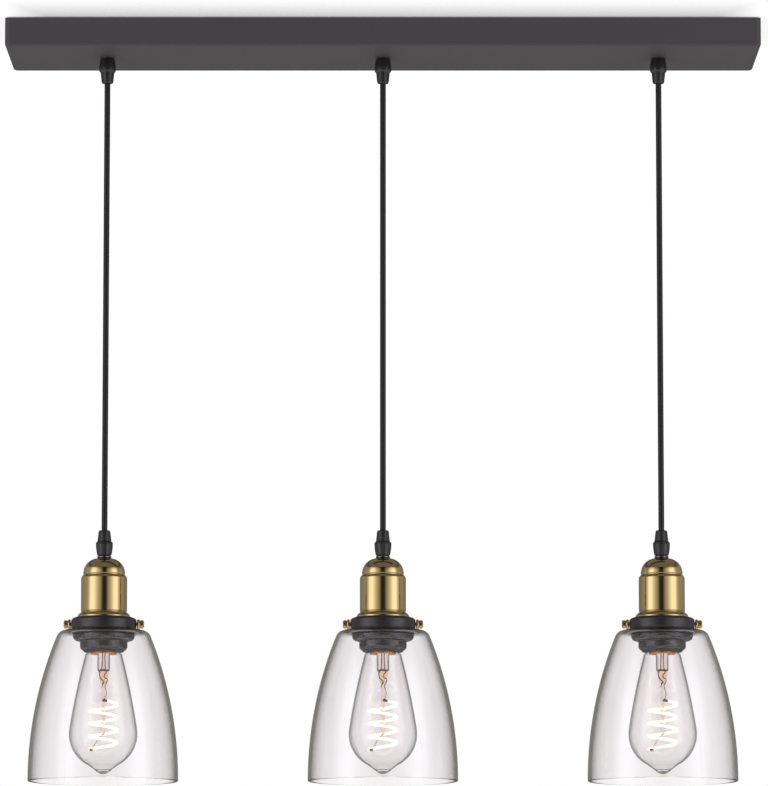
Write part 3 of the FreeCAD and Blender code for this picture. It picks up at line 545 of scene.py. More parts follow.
def hang(pattern, name, body, slot, finish, *nodes):
    """Copies a piece from the Z axis to each pendant, and removes the first one."""
    for number in PENDANTS:
        piece = copied(pattern, Matrix())
        spot = piece.data.attributes.new("place", "FLOAT_VECTOR", "POINT")
        for vertex in piece.data.vertices:
            spot.data[vertex.index].vector = vertex.co
        piece.data.transform(moved_to(AXIS_X[number], 0, 0))
        own_nodes = [f"{node}_{number}" for node in nodes]
        belong(piece, f"{name}_{number}", body.format(number), slot, finish, *own_nodes)
    print(name, "has", len(pattern.data.polygons), "faces")
    bpy.data.objects.remove(pattern)


print("a piece hangs on", len(PENDANTS), "pendants")

# %% [markdown]
# ## Metal finishes
# Powder coat is paint that melted from powder, so it has a fine orange-peel speckle and an even,
# dull sheen. The brass is a metal under clear lacquer: the metal colours what it mirrors, and the
# lacquer, a coat in the shader, adds a thin white gloss that makes the highlights creamy. The dark
# bronze of the ring and the collar is an oxide, half metal and half paint, with the lathe's fine
# lines round it. Such lines are noise that is stretched a lot along the piece's axis.

# %% Painted and plated metal
tree, shader, speckle = grained("powder_coat", (0.055, 0.051, 0.0555), 0.55, 0.0, 1400, (0.5, 0.62), False)
shader.inputs["Specular IOR Level"].default_value = 0.3
cloud = noise_of(tree, place_of(tree, own_axis=False), 9)
tint(tree, shader, cloud, (0.051, 0.047, 0.0515), (0.059, 0.0545, 0.0595))
add_bump(tree, shader, speckle, 0.00004, 0.5)

tree, shader, spangle = grained("zinc_plate", (0.62, 0.62, 0.63), 0.34, 0.55, 90, (0.26, 0.44), False)
tint(tree, shader, spangle, (0.55, 0.55, 0.56), (0.68, 0.68, 0.70))

grained("black_nickel", (0.16, 0.155, 0.155), 0.12, 1.0, 300, (0.08, 0.16))
print("painted and plated finishes:", len(FINISHES))

# %% Brass, bronze and copper
tree, shader, lines = grained(
    "antique_brass", (0.49, 0.365, 0.174), 0.09, 1.0, 60, (0.06, 0.12), stretch=(1, 1, 60), detail=4
)
cloud = noise_of(tree, place_of(tree), 45, (1, 1, 0.5))
tint(tree, shader, cloud, (0.473, 0.350, 0.160), (0.507, 0.380, 0.188))
shader.inputs["Coat Weight"].default_value = 0.3
shader.inputs["Coat Roughness"].default_value = 0.15
add_bump(tree, shader, lines, 0.000006, 0.3)

# the collar has the ring's finish, made 1.6 times lighter and a little shinier
for name, light, gloss in (("dark_bronze", 1.0, 0.0), ("collar_bronze", 1.6, 0.09)):
    purple = (0.046 * light, 0.039 * light, 0.046 * light)
    brown = (0.060 * light, 0.054 * light, 0.054 * light)
    roughness = (0.27 - gloss, 0.46 - gloss)
    tree, shader, lines = grained(name, brown, 0.37 - gloss, 0.75, 50, roughness, stretch=(1, 1, 18))
    tint(tree, shader, between(tree, lines, 0.0, 1.0, start=0.33, end=0.67), purple, brown)
    add_bump(tree, shader, lines, 0.00005, 0.5)

grained("bulb_brass", (0.78, 0.52, 0.26), 0.22, 1.0, 200, (0.16, 0.3))
grained("contact_copper", (0.80, 0.42, 0.22), 0.25, 1.0, 150, (0.18, 0.34), own_axis=False)
grained("support_wire", (0.20, 0.18, 0.17), 0.3, 1.0, 400, (0.24, 0.4))
grained("lead_wire", (0.45, 0.17, 0.05), 0.35, 0.6, 400, (0.28, 0.45))

tree, shader = new_finish("base_cement", (0.75, 0.33, 0.13), 0.3, 0.6)
crumb = noise_of(tree, place_of(tree), 350)
tint(tree, shader, crumb, (0.62, 0.24, 0.08), (0.85, 0.42, 0.19))
add_bump(tree, shader, crumb, 0.00008, 0.6)
print("finishes with the warm metals:", len(FINISHES))

# %% [markdown]
# ## Plastic and rubber finishes
# Moulded plastic and vinyl are nearly black here. What tells them apart is their gloss: the grips
# are finely grained, the cord is smoother along its length than across it, and the moulded
# lampholder shines. Only a dark base with a varied roughness shows that.

# %% Plastic and rubber
tree, shader, grain = grained("grip_nylon", (0.0105, 0.010, 0.0108), 0.38, 0.0, 1800, (0.30, 0.46))
add_bump(tree, shader, grain, 0.00003, 0.5)

tree, shader, grain = grained(
    "cord_jacket", (0.0075, 0.007, 0.0075), 0.45, 0.0, 900, (0.32, 0.46), own_axis=False, stretch=(1, 1, 0.15)
)
shader.inputs["Specular IOR Level"].default_value = 0.3
add_bump(tree, shader, grain, 0.00003, 0.4)

grained("phenolic", (0.022, 0.020, 0.019), 0.3, 0.0, 500, (0.24, 0.4))
grained("white_nylon", (0.75, 0.74, 0.71), 0.4, 0.0, 600, (0.34, 0.48), own_axis=False)

# one conductor of each pair is black and the other white, on the two sides of the tray's middle
tree, shader = new_finish("wire_insulation", (0.7, 0.7, 0.68), 0.4)
split = add_node(tree, "SeparateXYZ")
tree.links.new(place_of(tree, own_axis=False), split.inputs[0])
white_side = calculate(tree, "GREATER_THAN", split.outputs["Y"], 0.0)
tint(tree, shader, white_side, (0.02, 0.02, 0.02), (0.72, 0.71, 0.68))
print("with plastics:", len(FINISHES))

# %% [markdown]
# ## Glass finishes
# Clear glass is a Principled shader with full transmission. Its colour is painted darker and greyer where
# the wall is seen at a slant: partly for the longer way the light goes through it there, and partly as
# painted shade for the dark surroundings that slanted glass shows. Layer Weight gives that slant.
# Lamps shine through: a shadow ray meets a transparent shader in place of the glass. The filament's
# wire glows a little brighter than white paper.


# %% Glass
GLASS_IOR = 1.38


def glass_finish(name, clear, edge, power=2.5):
    """Clear glass whose colour is painted darker where it is seen at a slant, partly as painted shade, and
    which lets lamps through.
    """
    tree, shader = new_finish(name, clear, 0.0)
    shader.inputs["Transmission Weight"].default_value = 1.0
    shader.inputs["IOR"].default_value = GLASS_IOR
    slant = add_node(tree, "LayerWeight", Blend=0.5)
    # the darker colour at a slant is partly painted shade, not only the glass's own tint
    tint(tree, shader, calculate(tree, "POWER", slant.outputs["Facing"], power), clear, edge)
    shadow_ray = add_node(tree, "LightPath").outputs["Is Shadow Ray"]
    mix_shaders(tree, shadow_ray, shader, add_node(tree, "BsdfTransparent", Color=(*clear, 1)))


glass_finish("bell_glass", (0.945, 0.92, 0.93), (0.07, 0.065, 0.075), 3.0)
glass_finish("bulb_glass_finish", (0.985, 0.975, 0.975), (0.09, 0.08, 0.08), 3.0)
glass_finish("stem_glass", (0.97, 0.94, 0.93), (0.30, 0.25, 0.25))
glass_finish("rod_glass", (1.0, 0.90, 0.78), (0.55, 0.42, 0.30))
glass_finish("pinch_glass", (0.98, 0.80, 0.60), (0.55, 0.30, 0.14))

tree, shader = new_finish("glowing_filament", (1.0, 0.75, 0.4), 0.4)
shader.inputs["Emission Color"].default_value = (1.0, 0.92, 0.72, 1)
shader.inputs["Emission Strength"].default_value = 1.35
print("with glass:", len(FINISHES))

# %% [markdown]
# ## The canopy
# The real tray is folded from steel sheet, with its upright corners rounded. It starts as a cube of
# the frame's size. Its upright edges are bevelled first and its lower edges after that, its top is
# deleted, and a Solidify modifier gives the sheet its thickness inwards. Booleans then cut the
# holes for the grips and the end screws.

# %% Canopy
SHEET = 1.2 * MM
GRIP_HOLE = 5.1 * MM
END_SCREW_HOLE = 2.2 * MM
END_SCREW_Z = -14.0 * MM
low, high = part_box("canopy")
tray = begin("cube", size=1, location=(low + high) / 2, scale=high - low)
bpy.ops.object.mode_set(mode="EDIT")
pick(tray, "edges", lambda e: abs((e.verts[0].co - e.verts[1].co).normalized().z) > 0.9)
bpy.ops.mesh.bevel(offset=5.0 * MM, segments=8, affect="EDGES")
pick(tray, "edges", lambda e: all(abs(v.co.z - low.z) < 1e-6 for v in e.verts))
bpy.ops.mesh.bevel(offset=2.6 * MM, segments=6, affect="EDGES")
pick(tray, "faces", lambda f: f.normal.z > 0.99)
bpy.ops.mesh.delete(type="FACE")
bpy.ops.object.mode_set(mode="OBJECT")
apply_modifier(tray, "SOLIDIFY", thickness=SHEET, offset=-1, use_even_offset=True)
apply_modifier(tray, "BEVEL", width=0.25 * MM, segments=2, limit_method="ANGLE", angle_limit=math.radians(60))
for number in PENDANTS:
    drill(tray, GRIP_HOLE, 6 * MM, (AXIS_X[number], 0, low.z))
for end in (low.x, high.x):
    drill(tray, END_SCREW_HOLE, 6 * MM, (end, 0, END_SCREW_Z), (0, math.pi / 2, 0))
smooth(tray, 40)
apply_modifier(tray, "WEIGHTED_NORMAL", keep_sharp=True)
belong(tray, "steel_tray", "canopy_assembly", "black_powder_coat", "powder_coat", "canopy")
print("tray", len(tray.data.polygons), "faces")

# %% [markdown]
# ## Inside the canopy
# From above the open tray shows its screws, nuts and terminal blocks. A screw's domed head is turned
# and its cross recess is cut by two thin boxes. A nut is a six-sided prism that is cut by a turned
# shape with sloping ends, which leaves the rounded chamfer that real nuts have on their corners. A
# terminal block is a bevelled box with wells for its clamping screws.

# %% Screws
HEAD_HEIGHT = 2.4
HEAD_RADIUS = 3.8
SHANK_RADIUS = 2.0
THREAD_DEPTH = 0.3
THREAD_PITCH = 0.7
GROUND_SCREW_X = 110 * MM
BAR_UNDERSIDE = -2 * MM


def pan_screw(shank_length):
    """A pan head screw with a cross recess, its head below Z = 0 and its ridged shank above."""
    section = [(0, -HEAD_HEIGHT), (1.6, -HEAD_HEIGHT)]
    section += curve_through((1.6, -HEAD_HEIGHT), (3.2, -HEAD_HEIGHT * 0.8), (HEAD_RADIUS, -0.5), 6)[1:]
    section += [(HEAD_RADIUS, -0.1), (HEAD_RADIUS - 0.2, 0), (SHANK_RADIUS, 0)]
    for ridge in range(int(shank_length / THREAD_PITCH)):
        foot = 0.2 + THREAD_PITCH * ridge
        section += [(SHANK_RADIUS - THREAD_DEPTH, foot), (SHANK_RADIUS, foot + 0.35)]
    section += [(SHANK_RADIUS - THREAD_DEPTH, shank_length), (0, shank_length)]
    screw = turn_section(section, 0, 40)
    for turn in (0, math.pi / 2):
        cut(screw, begin("cube", size=1, location=(0, 0, -HEAD_HEIGHT * MM), rotation=(0, 0, turn),
                         scale=(4.2 * MM, 0.9 * MM, 2.6 * MM)))
    return screw


end_screw = pan_screw(8.0)
ground_screw = pan_screw(2.0)
screws = [
    copied(end_screw, moved_to(high.x, 0, END_SCREW_Z) @ Matrix.Rotation(-math.pi / 2, 4, "Y")),
    copied(end_screw, moved_to(low.x, 0, END_SCREW_Z) @ Matrix.Rotation(math.pi / 2, 4, "Y")),
    copied(ground_screw, moved_to(GROUND_SCREW_X, 0, BAR_UNDERSIDE)),
]
bpy.data.objects.remove(end_screw)
bpy.data.objects.remove(ground_screw)
screws = smooth(join(*screws))
belong(screws, "pan_screws", "canopy_assembly", "zinc_steel", "zinc_plate", "bar_screws")

# %% Lock nuts
NUT_CORNER = 8.1
NUT_HEIGHT = 3.0
nut = begin("cylinder", vertices=6, radius=NUT_CORNER * MM, depth=NUT_HEIGHT * MM)
half = NUT_HEIGHT / 2
chamfer = [(0, -half - 0.1), (7.0, -half - 0.1), (8.4, -half + 0.75)]
chamfer += [(8.4, half - 0.75), (7.0, half + 0.1), (0, half + 0.1)]
cut(nut, turn_section(chamfer, 0, 60), "INTERSECT")
drill(nut, 4.95 * MM, 8 * MM, (0, 0, 0))
nuts = [copied(nut, moved_to(AXIS_X[number], 0, low.z + SHEET + half * MM)) for number in PENDANTS]
bpy.data.objects.remove(nut)
nuts = smooth(join(*nuts))
belong(nuts, "lock_nuts", "canopy_assembly", "zinc_steel", "zinc_plate", "grip_nuts")
print("nuts", len(nuts.data.polygons), "faces")

# %% Terminal blocks
BLOCK_WIDTH = 9 * MM
BLOCK_SPREAD = 6 * MM
WELL_SPREAD = 5.6 * MM
block_low, block_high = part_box("terminal_blocks")
block_middle = (block_low + block_high) / 2
size = Vector((block_high.x - block_low.x, BLOCK_WIDTH, block_high.z - block_low.z))
blocks = []
clamps = []
for side in (-1, 1):
    place = Vector((block_middle.x, side * BLOCK_SPREAD, block_middle.z))
    block = begin("cube", size=1, location=place, scale=size)
    apply_modifier(block, "BEVEL", width=0.9 * MM, segments=3)
    drill(block, 4.0 * MM, 2.4 * MM, place + Vector((0, 0, size.z / 2 + 0.6 * MM)), sides=6)
    for end in (-1, 1):
        well = place + Vector((end * WELL_SPREAD, 0, size.z / 2))
        drill(block, 2.2 * MM, 7 * MM, well, sides=32)
        clamp = turn_section(eased([(0, -2.6), (1.9, -2.6, 0.2), (1.9, -1.6, 0.3), (0, -1.6)]), 0, 24)
        cut(clamp, begin("cube", size=1, location=(0, 0, -1.6 * MM), scale=(5 * MM, 0.5 * MM, 0.9 * MM)))
        clamp.data.transform(Matrix.Translation(well))
        clamps.append(clamp)
    blocks.append(block)
blocks = smooth(join(*blocks), 40)
belong(blocks, "nylon_blocks", "canopy_assembly", "white_nylon", "white_nylon", "terminal_blocks")
belong(smooth(join(*clamps)), "clamp_screws", "canopy_assembly", "zinc_steel", "zinc_plate")
print("blocks", len(blocks.data.polygons), "faces")

# %% [markdown]
# ## The cord grips
# A grip is a moulded barrel with a cap screwed on it, and the same moulding sits at both ends of a
# cord. The cap is a turned cone. Ten sunk panels with round ends run round it, so that wet fingers
# can turn it: the faces of each panel are picked by their angle and height, and an inset with a
# negative depth sinks them. The barrel has twenty soft facets, so it is spun in twenty steps and its
# upright edges are bevelled.

# %% Grip cap
GRIP_CAP_END = 12.8
GRIP_PANELS = 10
PANEL_STEPS = 12


def panel_reach(height):
    """Half the width of a sunk panel at a height, in steps of the spin: its two ends are rounded."""
    for end in (1.8, 9.5):
        if abs(height - end) < 0.35:
            return 2
    return 3 if 1.8 < height < 9.5 else 0


def grip_cap(bore):
    """The cap with its mouth at Z = 0, facing down. Its bore is wider where it holds an insert."""
    section = eased([
        (bore, 4.0), (bore, 0.3, 0.2), (bore + 0.3, 0.0, 0.2), (4.8, 0.0, 0.5), (5.5, 0.9, 0.5),
        (5.56, 1.5), (5.62, 2.1), (6.42, 9.2), (6.48, 9.8), (6.6, 10.5, 0.3), (7.2, 10.7, 0.4),
        (8.0, 12.0, 0.5), (8.0, GRIP_CAP_END, 0.2), (2.8, GRIP_CAP_END), (2.8, 4.0), (bore, 4.0),
    ])
    cap = turn_section(section, 0, GRIP_PANELS * PANEL_STEPS)
    step = math.tau / (GRIP_PANELS * PANEL_STEPS)

    def in_panel(face):
        centre = face.calc_center_median()
        if math.hypot(centre.x, centre.y) < 5.3 * MM:
            return False
        turn = math.atan2(centre.y, centre.x) / step % PANEL_STEPS
        return abs(turn - PANEL_STEPS / 2) < panel_reach(centre.z / MM)

    sink(cap, in_panel, 0.28, 0.42)
    return smooth(cap, 50)


# for each end of a cord: its body, where its grip goes, the cap's bore and the stud's length
GRIPS = {
    "lower": ("pendant_{}", moved_to(0, 0, GRIP_MOUTH_DOWN) @ Matrix.Rotation(math.pi, 4, "X"), 2.8, 21.0),
    "upper": ("canopy_assembly", moved_to(0, 0, GRIP_MOUTH_UP), 4.4, 10.0),
}
for end, (body, way, bore, stud_length) in GRIPS.items():
    cap = grip_cap(bore)
    cap.data.transform(way)
    hang(cap, f"ribbed_cap_{end}", body, "black_nylon", "grip_nylon", f"{end}_grip_cap")


# %% Grip barrel and stud
def grip_body(stud_length):
    """The faceted barrel above the cap, and the threaded stud that the nut or the cup takes."""
    barrel_end = 23.4
    seat = 24.0
    section = eased([
        (2.8, GRIP_CAP_END), (7.8, GRIP_CAP_END, 0.2), (7.95, 13.2, 0.2), (7.85, 16.0, 1.5),
        (7.35, 20.0, 1.5), (6.8, 22.9, 0.6), (6.4, barrel_end, 0.3), (2.8, barrel_end), (2.8, GRIP_CAP_END),
    ])
    barrel = turn_section(section, 0, 20, 12)
    apply_modifier(
        barrel, "BEVEL", width=0.35 * MM, segments=2, limit_method="ANGLE", angle_limit=math.radians(14)
    )
    thread = [(2.8, barrel_end - 0.2), (5.8, barrel_end - 0.2), (5.8, seat), (4.9, seat)]
    for ridge in range(int(stud_length / 1.5)):
        foot = seat + 0.3 + 1.5 * ridge
        thread += [(4.55, foot), (4.55, foot + 0.3), (4.9, foot + 0.7), (4.9, foot + 0.9)]
    thread += [(4.6, seat + stud_length), (2.8, seat + stud_length), (2.8, barrel_end - 0.2)]
    stud = turn_section(thread, 0, 48)
    return smooth(join(smooth(barrel, 12), stud), 20)


for end in ("upper", "lower"):
    body, way, bore, stud_length = GRIPS[end]
    barrel = grip_body(stud_length)
    barrel.data.transform(way)
    hang(barrel, f"grip_barrel_{end}", body, "black_nylon", "grip_nylon", f"{end}_grip_body")

# %% Grip washer
washer_height = (WASHER_HIGH - WASHER_LOW) / MM
rim = curve_through((6.2, 0.15), (6.72, washer_height / 2), (6.2, washer_height - 0.15), 8)
section = [(4.95, 0.0), (5.9, 0.0), *rim, (5.9, washer_height), (4.95, washer_height), (4.95, 0.0)]
washer = turn_section(section, WASHER_LOW, 72)
hang(washer, "nickel_washer", "pendant_{}", "bright_nickel", "black_nickel", "grip_washer")

# %% [markdown]
# ## The brass cup
# The cup is spun from thin brass sheet over a former: a dome, a rolled groove, a straight wall, a
# second groove and a skirt that flares into the ring. One closed section holds both faces of the
# sheet.


# %% Socket cup
def rolled_groove(radius, height):
    """A groove pressed into the sheet, with soft lips above and below."""
    depth = 0.42
    return [
        (radius, height + 1.0), (radius, height + 0.6), (radius - depth * 0.7, height + 0.28),
        (radius - depth, height), (radius - depth * 0.7, height - 0.28), (radius, height - 0.6),
    ]


def cup_face(inset):
    """The cup's face from its hole to its skirt, in millimetres below its top."""
    dome_end = (18.9 - inset, -10.0)
    face = [(5.1, -inset), (6.2, -inset)]
    face += curve_through(face[-1], (14.6 - 0.6 * inset, -3.4 - 0.8 * inset), dome_end, 16)[1:]
    face += rolled_groove(19.6 - inset, -15.0)
    face += curve_through((19.6 - inset, -15.9), (20.8 - inset, -17.1), (21.5 - inset, -19.2), 7)
    face += rolled_groove(21.5 - inset, -50.0)
    return face + curve_through((21.5 - inset, -50.9), (23.4 - inset, -52.3), (24.6 - inset, -54.4), 8)


CUP_WALL = 0.8
skirt_drop = (CUP_LOW - CUP_TOP) / MM
outer = cup_face(0) + [(24.6, skirt_drop + 0.2), (24.4, skirt_drop)]
inner = cup_face(CUP_WALL) + [(23.8, skirt_drop + 0.2), (24.0, skirt_drop)]
cup = turn_section(outer + inner[::-1] + outer[:1], CUP_TOP, 128)
hang(cup, "brass_cup", "pendant_{}", "antique_brass", "antique_brass", "socket_cup")

# %% [markdown]
# ## The shade ring and its thumbscrews
# The ring is turned with a crowned upper edge and a small groove above its foot. A thumbscrew has a
# round body and, outside it, a smaller disc with grooves for the fingers. It is spun upright and laid
# over afterwards; its grooves are sunk like the panels of the grip's cap.

# %% Shade ring
ring_height = (RING_TOP - RING_LOW) / MM
ring_section = eased([
    (24.95, ring_height, 0.2), (25.9, ring_height, 0.4), (29.3, ring_height - 1.1, 1.4),
    (30.4, ring_height - 2.6, 0.8), (30.4, 1.7, 0.25), (29.95, 1.35, 0.15), (29.95, 1.0, 0.15),
    (30.3, 0.75, 0.2), (29.7, 0.0, 0.3), (20.6, 0.0, 0.3), (20.6, 2.8, 0.2), (24.95, 2.8, 0.2),
    (24.95, ring_height, 0.2),
])
ring = turn_section(ring_section, RING_LOW, 128)
drill(ring, 1.85 * MM, 80 * MM, (0, 0, THUMB_Z), (0, math.pi / 2, 0))
hang(smooth(ring), "bronze_ring", "pendant_{}", "dark_bronze", "dark_bronze", "shade_ring")

# %% Thumbscrews
THUMB_GROOVES = 16
GROOVE_STEPS = 6
GROOVE_LOW, GROOVE_HIGH = 34.6, 36.3
thumb_section = eased([
    (0.0, 24.7), (1.5, 24.7, 0.2), (1.8, 25.2, 0.2), (1.8, 30.9, 0.1), (4.0, 30.9, 0.3), (4.7, 31.6, 0.4),
    (4.7, 32.8, 0.4), (4.0, 33.5, 0.3), (3.1, 33.6, 0.2), (3.1, 33.9, 0.2), (3.6, 34.0, 0.2),
    (3.9, 34.3, 0.2), (3.9, GROOVE_LOW), (3.9, GROOVE_HIGH), (3.9, 36.6, 0.2), (3.3, 36.9, 0.3),
    (2.5, 37.45, 0.4), (0.0, 37.5),
])
thumb = turn_section(thumb_section, 0, THUMB_GROOVES * GROOVE_STEPS)


def in_groove(face):
    centre = face.calc_center_median()
    if not GROOVE_LOW * MM < centre.z < GROOVE_HIGH * MM:
        return False
    turn = math.atan2(centre.y, centre.x) / math.tau * THUMB_GROOVES * GROOVE_STEPS % GROOVE_STEPS
    return turn < 2


sink(thumb, in_groove, 0.12, 0.3)
smooth(thumb, 40)
for side, name in ((-1, "left"), (1, "right")):
    laid = copied(thumb, moved_to(0, 0, THUMB_Z) @ Matrix.Rotation(side * math.pi / 2, 4, "Y"))
    hang(laid, f"brass_thumbscrew_{name}", name + "_screw_{}", "antique_brass", "antique_brass",
         f"thumbscrew_{name}")
bpy.data.objects.remove(thumb)

# %% [markdown]
# ## The collar and the lampholder
# The collar is turned with a wide flange, a round fillet and a tapered nose. The lampholder is
# moulded: its lip shows below the collar, and its upper part fills the brass cup.

# %% Shade collar
collar_height = (COLLAR_TOP - COLLAR_LOW) / MM
collar_section = eased([
    (19.9, collar_height, 0.3), (28.3, collar_height, 0.4), (28.8, collar_height - 0.6, 0.3),
    (28.8, collar_height - 3.1, 0.5), (28.2, collar_height - 5.6, 1.6), (26.0, collar_height - 7.2, 1.2),
    (22.5, collar_height - 7.5, 0.3), (22.1, collar_height - 8.0, 0.3), (22.1, 2.4, 0.6),
    (20.9, 0.5, 0.5), (20.3, 0.0, 0.2), (19.9, 0.2, 0.1), (19.9, collar_height, 0.3),
])
collar = turn_section(collar_section, COLLAR_LOW, 128)
hang(collar, "bronze_collar", "shade_{}", "dark_bronze", "collar_bronze", "shade_collar")

# %% Lampholder
holder_height = (HOLDER_TOP - HOLDER_LOW) / MM
holder_section = eased([
    (0.0, 32.0), (14.4, 32.0, 0.5), (14.4, 0.8, 0.4), (15.2, 0.0, 0.3), (18.2, 0.0, 0.6), (19.4, 1.4, 0.5),
    (19.6, 3.0, 0.5), (19.6, 60.0, 1.5), (18.0, 62.5, 2.0), (8.0, 67.0, 1.0), (8.0, holder_height, 0.4),
    (0.0, holder_height),
])
holder = turn_section(holder_section, HOLDER_LOW, 96)
hang(holder, "phenolic_lampholder", "pendant_{}", "black_phenolic", "phenolic", "lampholder")

# %% [markdown]
# ## The glass bell
# The bell is blown in a mould: a flat top with a hole, a round shoulder, and one long curve that
# ends upright at the rim, where the flame has rounded the edge. Both faces of the glass are real,
# because light bends at each of them.

# %% Glass bell
BELL_RADIUS = 69.85
BELL_HEIGHT = 139.7
BELL_ARC = 357.5
BELL_SHOULDER = 9.0
BELL_WALL = 2.8
RIM_DEPTH = 0.9


def bell_face(inset):
    """The bell's face from its hole to its rim, in millimetres above the rim's plane."""
    long_arc = BELL_ARC - inset
    shoulder = BELL_SHOULDER - inset
    rise = BELL_HEIGHT - inset - shoulder
    reach = math.sqrt((long_arc - shoulder) ** 2 - rise ** 2)
    lean = math.degrees(math.atan2(rise, reach))
    centre_x = BELL_RADIUS - BELL_ARC
    face = [(22.1, BELL_HEIGHT - inset)]
    face += arc((centre_x + reach, rise), shoulder, 90, lean, 14)
    # the last face is very short, so that the rim's shading doesn't run up the wall
    face += arc((centre_x, 0), long_arc, lean, 0.06, 40)[1:]
    return face + [(centre_x + long_arc, 0)]


rim_plane = SHADE_TOP - BELL_HEIGHT * MM
rim_round = [
    (radius, height / (BELL_WALL / 2) * RIM_DEPTH)
    for radius, height in arc((BELL_RADIUS - BELL_WALL / 2, 0), BELL_WALL / 2, 0, -180, 10)[1:-1]
]
hole_edge = [(21.6, BELL_HEIGHT - 2.3), (21.5, BELL_HEIGHT - 1.4), (21.6, BELL_HEIGHT - 0.5)]
bell_section = bell_face(0) + rim_round + bell_face(BELL_WALL)[::-1] + hole_edge + bell_face(0)[:1]
bell = turn_section(bell_section, rim_plane, 160)
hang(bell, "glass_bell", "shade_{}", "clear_glass", "bell_glass", "glass_shade")

# %% [markdown]
# ## The bulb
# The envelope is a teardrop of thin glass, sealed at the bottom where the tube was drawn off, which
# leaves a blunt pip with rings inside it. Its flank bows out a little between the neck and the round
# belly. Heights of the glass and of what is inside it are in millimetres from the neck, as a bulb
# maker would draw them.

# %% Bulb envelope
BELLY_RADIUS = 31.8
BELLY_DROP = -77.7
FLANK_DEG = 8.9
FLANK_BOW = 3.6
FLANK_STEPS = 24
ROOT_DEG = -62.5
PIP_DROP = BELLY_DROP - BELLY_RADIUS - 5.4
BULB_WALL = 0.9


def bulb_face(inset):
    """The envelope's face from its neck to the root of its pip."""
    belly = BELLY_RADIUS - inset
    sphere = arc((0, BELLY_DROP), belly, FLANK_DEG, ROOT_DEG, 22)
    shoulder = Vector((17.6 - inset, -6.3))
    run = Vector(sphere[0]) - shoulder
    face = [(13.3 - inset, 0), (13.6 - inset, -2.0)]
    face += curve_through(face[-1], (16.7 - inset, -3.5), tuple(shoulder), 8)[1:]
    for step in range(1, FLANK_STEPS):
        part = step / FLANK_STEPS
        face.append((shoulder.x + run.x * part + FLANK_BOW * part * (1 - part), shoulder.y + run.y * part))
    return face + sphere


pip_outer = [(7.6, PIP_DROP + 4.0)]
pip_outer += curve_through(pip_outer[0], (4.6, PIP_DROP + 1.5), (1.2, PIP_DROP + 0.1), 7)[1:]
pip_outer.append((0, PIP_DROP))
pip_inner = eased([
    (7.8, PIP_DROP + 5.6), (7.0, PIP_DROP + 4.7, 0.3), (5.6, PIP_DROP + 4.3, 0.3),
    (4.6, PIP_DROP + 3.3, 0.3), (2.8, PIP_DROP + 3.0, 0.3), (0, PIP_DROP + 2.8),
])
bulb_section = pip_outer[::-1] + bulb_face(0)[::-1] + bulb_face(BULB_WALL) + pip_inner
envelope = turn_section(bulb_section, BULB_NECK, 96, 50)
hang(envelope, "bulb_envelope", "bulb_{}", "bulb_clear", "bulb_glass_finish", "bulb_glass")

# %% Bulb cap and its cement
THREAD_TURNS = 5
cap_section = [(12.4, 0), (13.3, 0), (13.3, 1.0), (12.6, 1.6)]
for turn in range(THREAD_TURNS):
    foot = 2.2 + 3.6 * turn
    cap_section += [(12.3, foot), (12.6, foot + 0.9), (13.0, foot + 1.8), (12.6, foot + 2.7)]
cap_section += [(12.2, 20.6), (11.5, 22.2), (6.0, 25.5), (4.6, 25.5), (3.4, 26.5), (1.6, 26.8), (0, 26.8)]
cap_section += [(0, 19.5), (12.0, 19.5), (12.4, 0)]
cap = turn_section(cap_section, CAP_LOW, 64)
hang(cap, "bulb_screw_cap", "bulb_{}", "bulb_base", "bulb_brass", "bulb_cap")

cement_section = eased([
    (9.4, 2.0), (12.2, 2.0, 0.2), (12.3, -3.4, 0.8), (11.6, -3.9, 0.5), (9.4, -1.0, 1.0), (9.4, 2.0),
])
cement = turn_section(cement_section, BULB_NECK, 64)
hang(cement, "bulb_cement", "bulb_{}", "bulb_base", "base_cement")

# %% [markdown]
# ## Inside the bulb
# A flared glass tube stands in the neck, and its lower end is pinched flat round two lead wires. A
# glass rod hangs from the pinch. The leads fold in the pinch and come out below it. A thin support
# wire runs from the right lead, and another from the rod's end, to the two clips that hold the wound
# filament. Thin bent wires are curves with a round bevel, turned into meshes.

# %% Stem and pinch
PINCH_DROP = -19.5
PINCH_LENGTH = 11.0
stem_section = eased([
    (0.0, -18.2), (4.9, -18.0, 1.0), (4.9, -4.0, 2.0), (8.0, -0.6, 0.5), (8.5, -0.6, 0.2), (8.5, -0.1, 0.2),
    (8.0, -0.1, 0.5), (5.8, -4.0, 2.0), (5.8, -17.5, 1.0), (5.2, PINCH_DROP, 0.6), (0.0, PINCH_DROP),
])
stem = turn_section(stem_section, BULB_NECK, 48)
hang(stem, "bulb_stem", "bulb_{}", "bulb_clear", "stem_glass", "bulb_filament")

PINCH_TOP = BULB_NECK + PINCH_DROP * MM
pinch_middle = PINCH_TOP - PINCH_LENGTH / 2 * MM
pinch = begin("cube", size=1, location=(0, 0, pinch_middle), scale=(9.6 * MM, 4.6 * MM, PINCH_LENGTH * MM))
bpy.ops.object.mode_set(mode="EDIT")
pick(pinch, "verts", lambda v: v.co.z < pinch_middle)
bpy.ops.transform.resize(value=(0.6, 0.7, 1), center_override=(0, 0, PINCH_TOP - PINCH_LENGTH * MM))
bpy.ops.object.mode_set(mode="OBJECT")
apply_modifier(pinch, "BEVEL", width=1.4 * MM, segments=3)
apply_modifier(pinch, "SUBSURF", levels=2, render_levels=2)
hang(smooth(pinch, 60), "bulb_pinch", "bulb_{}", "bulb_clear", "pinch_glass")

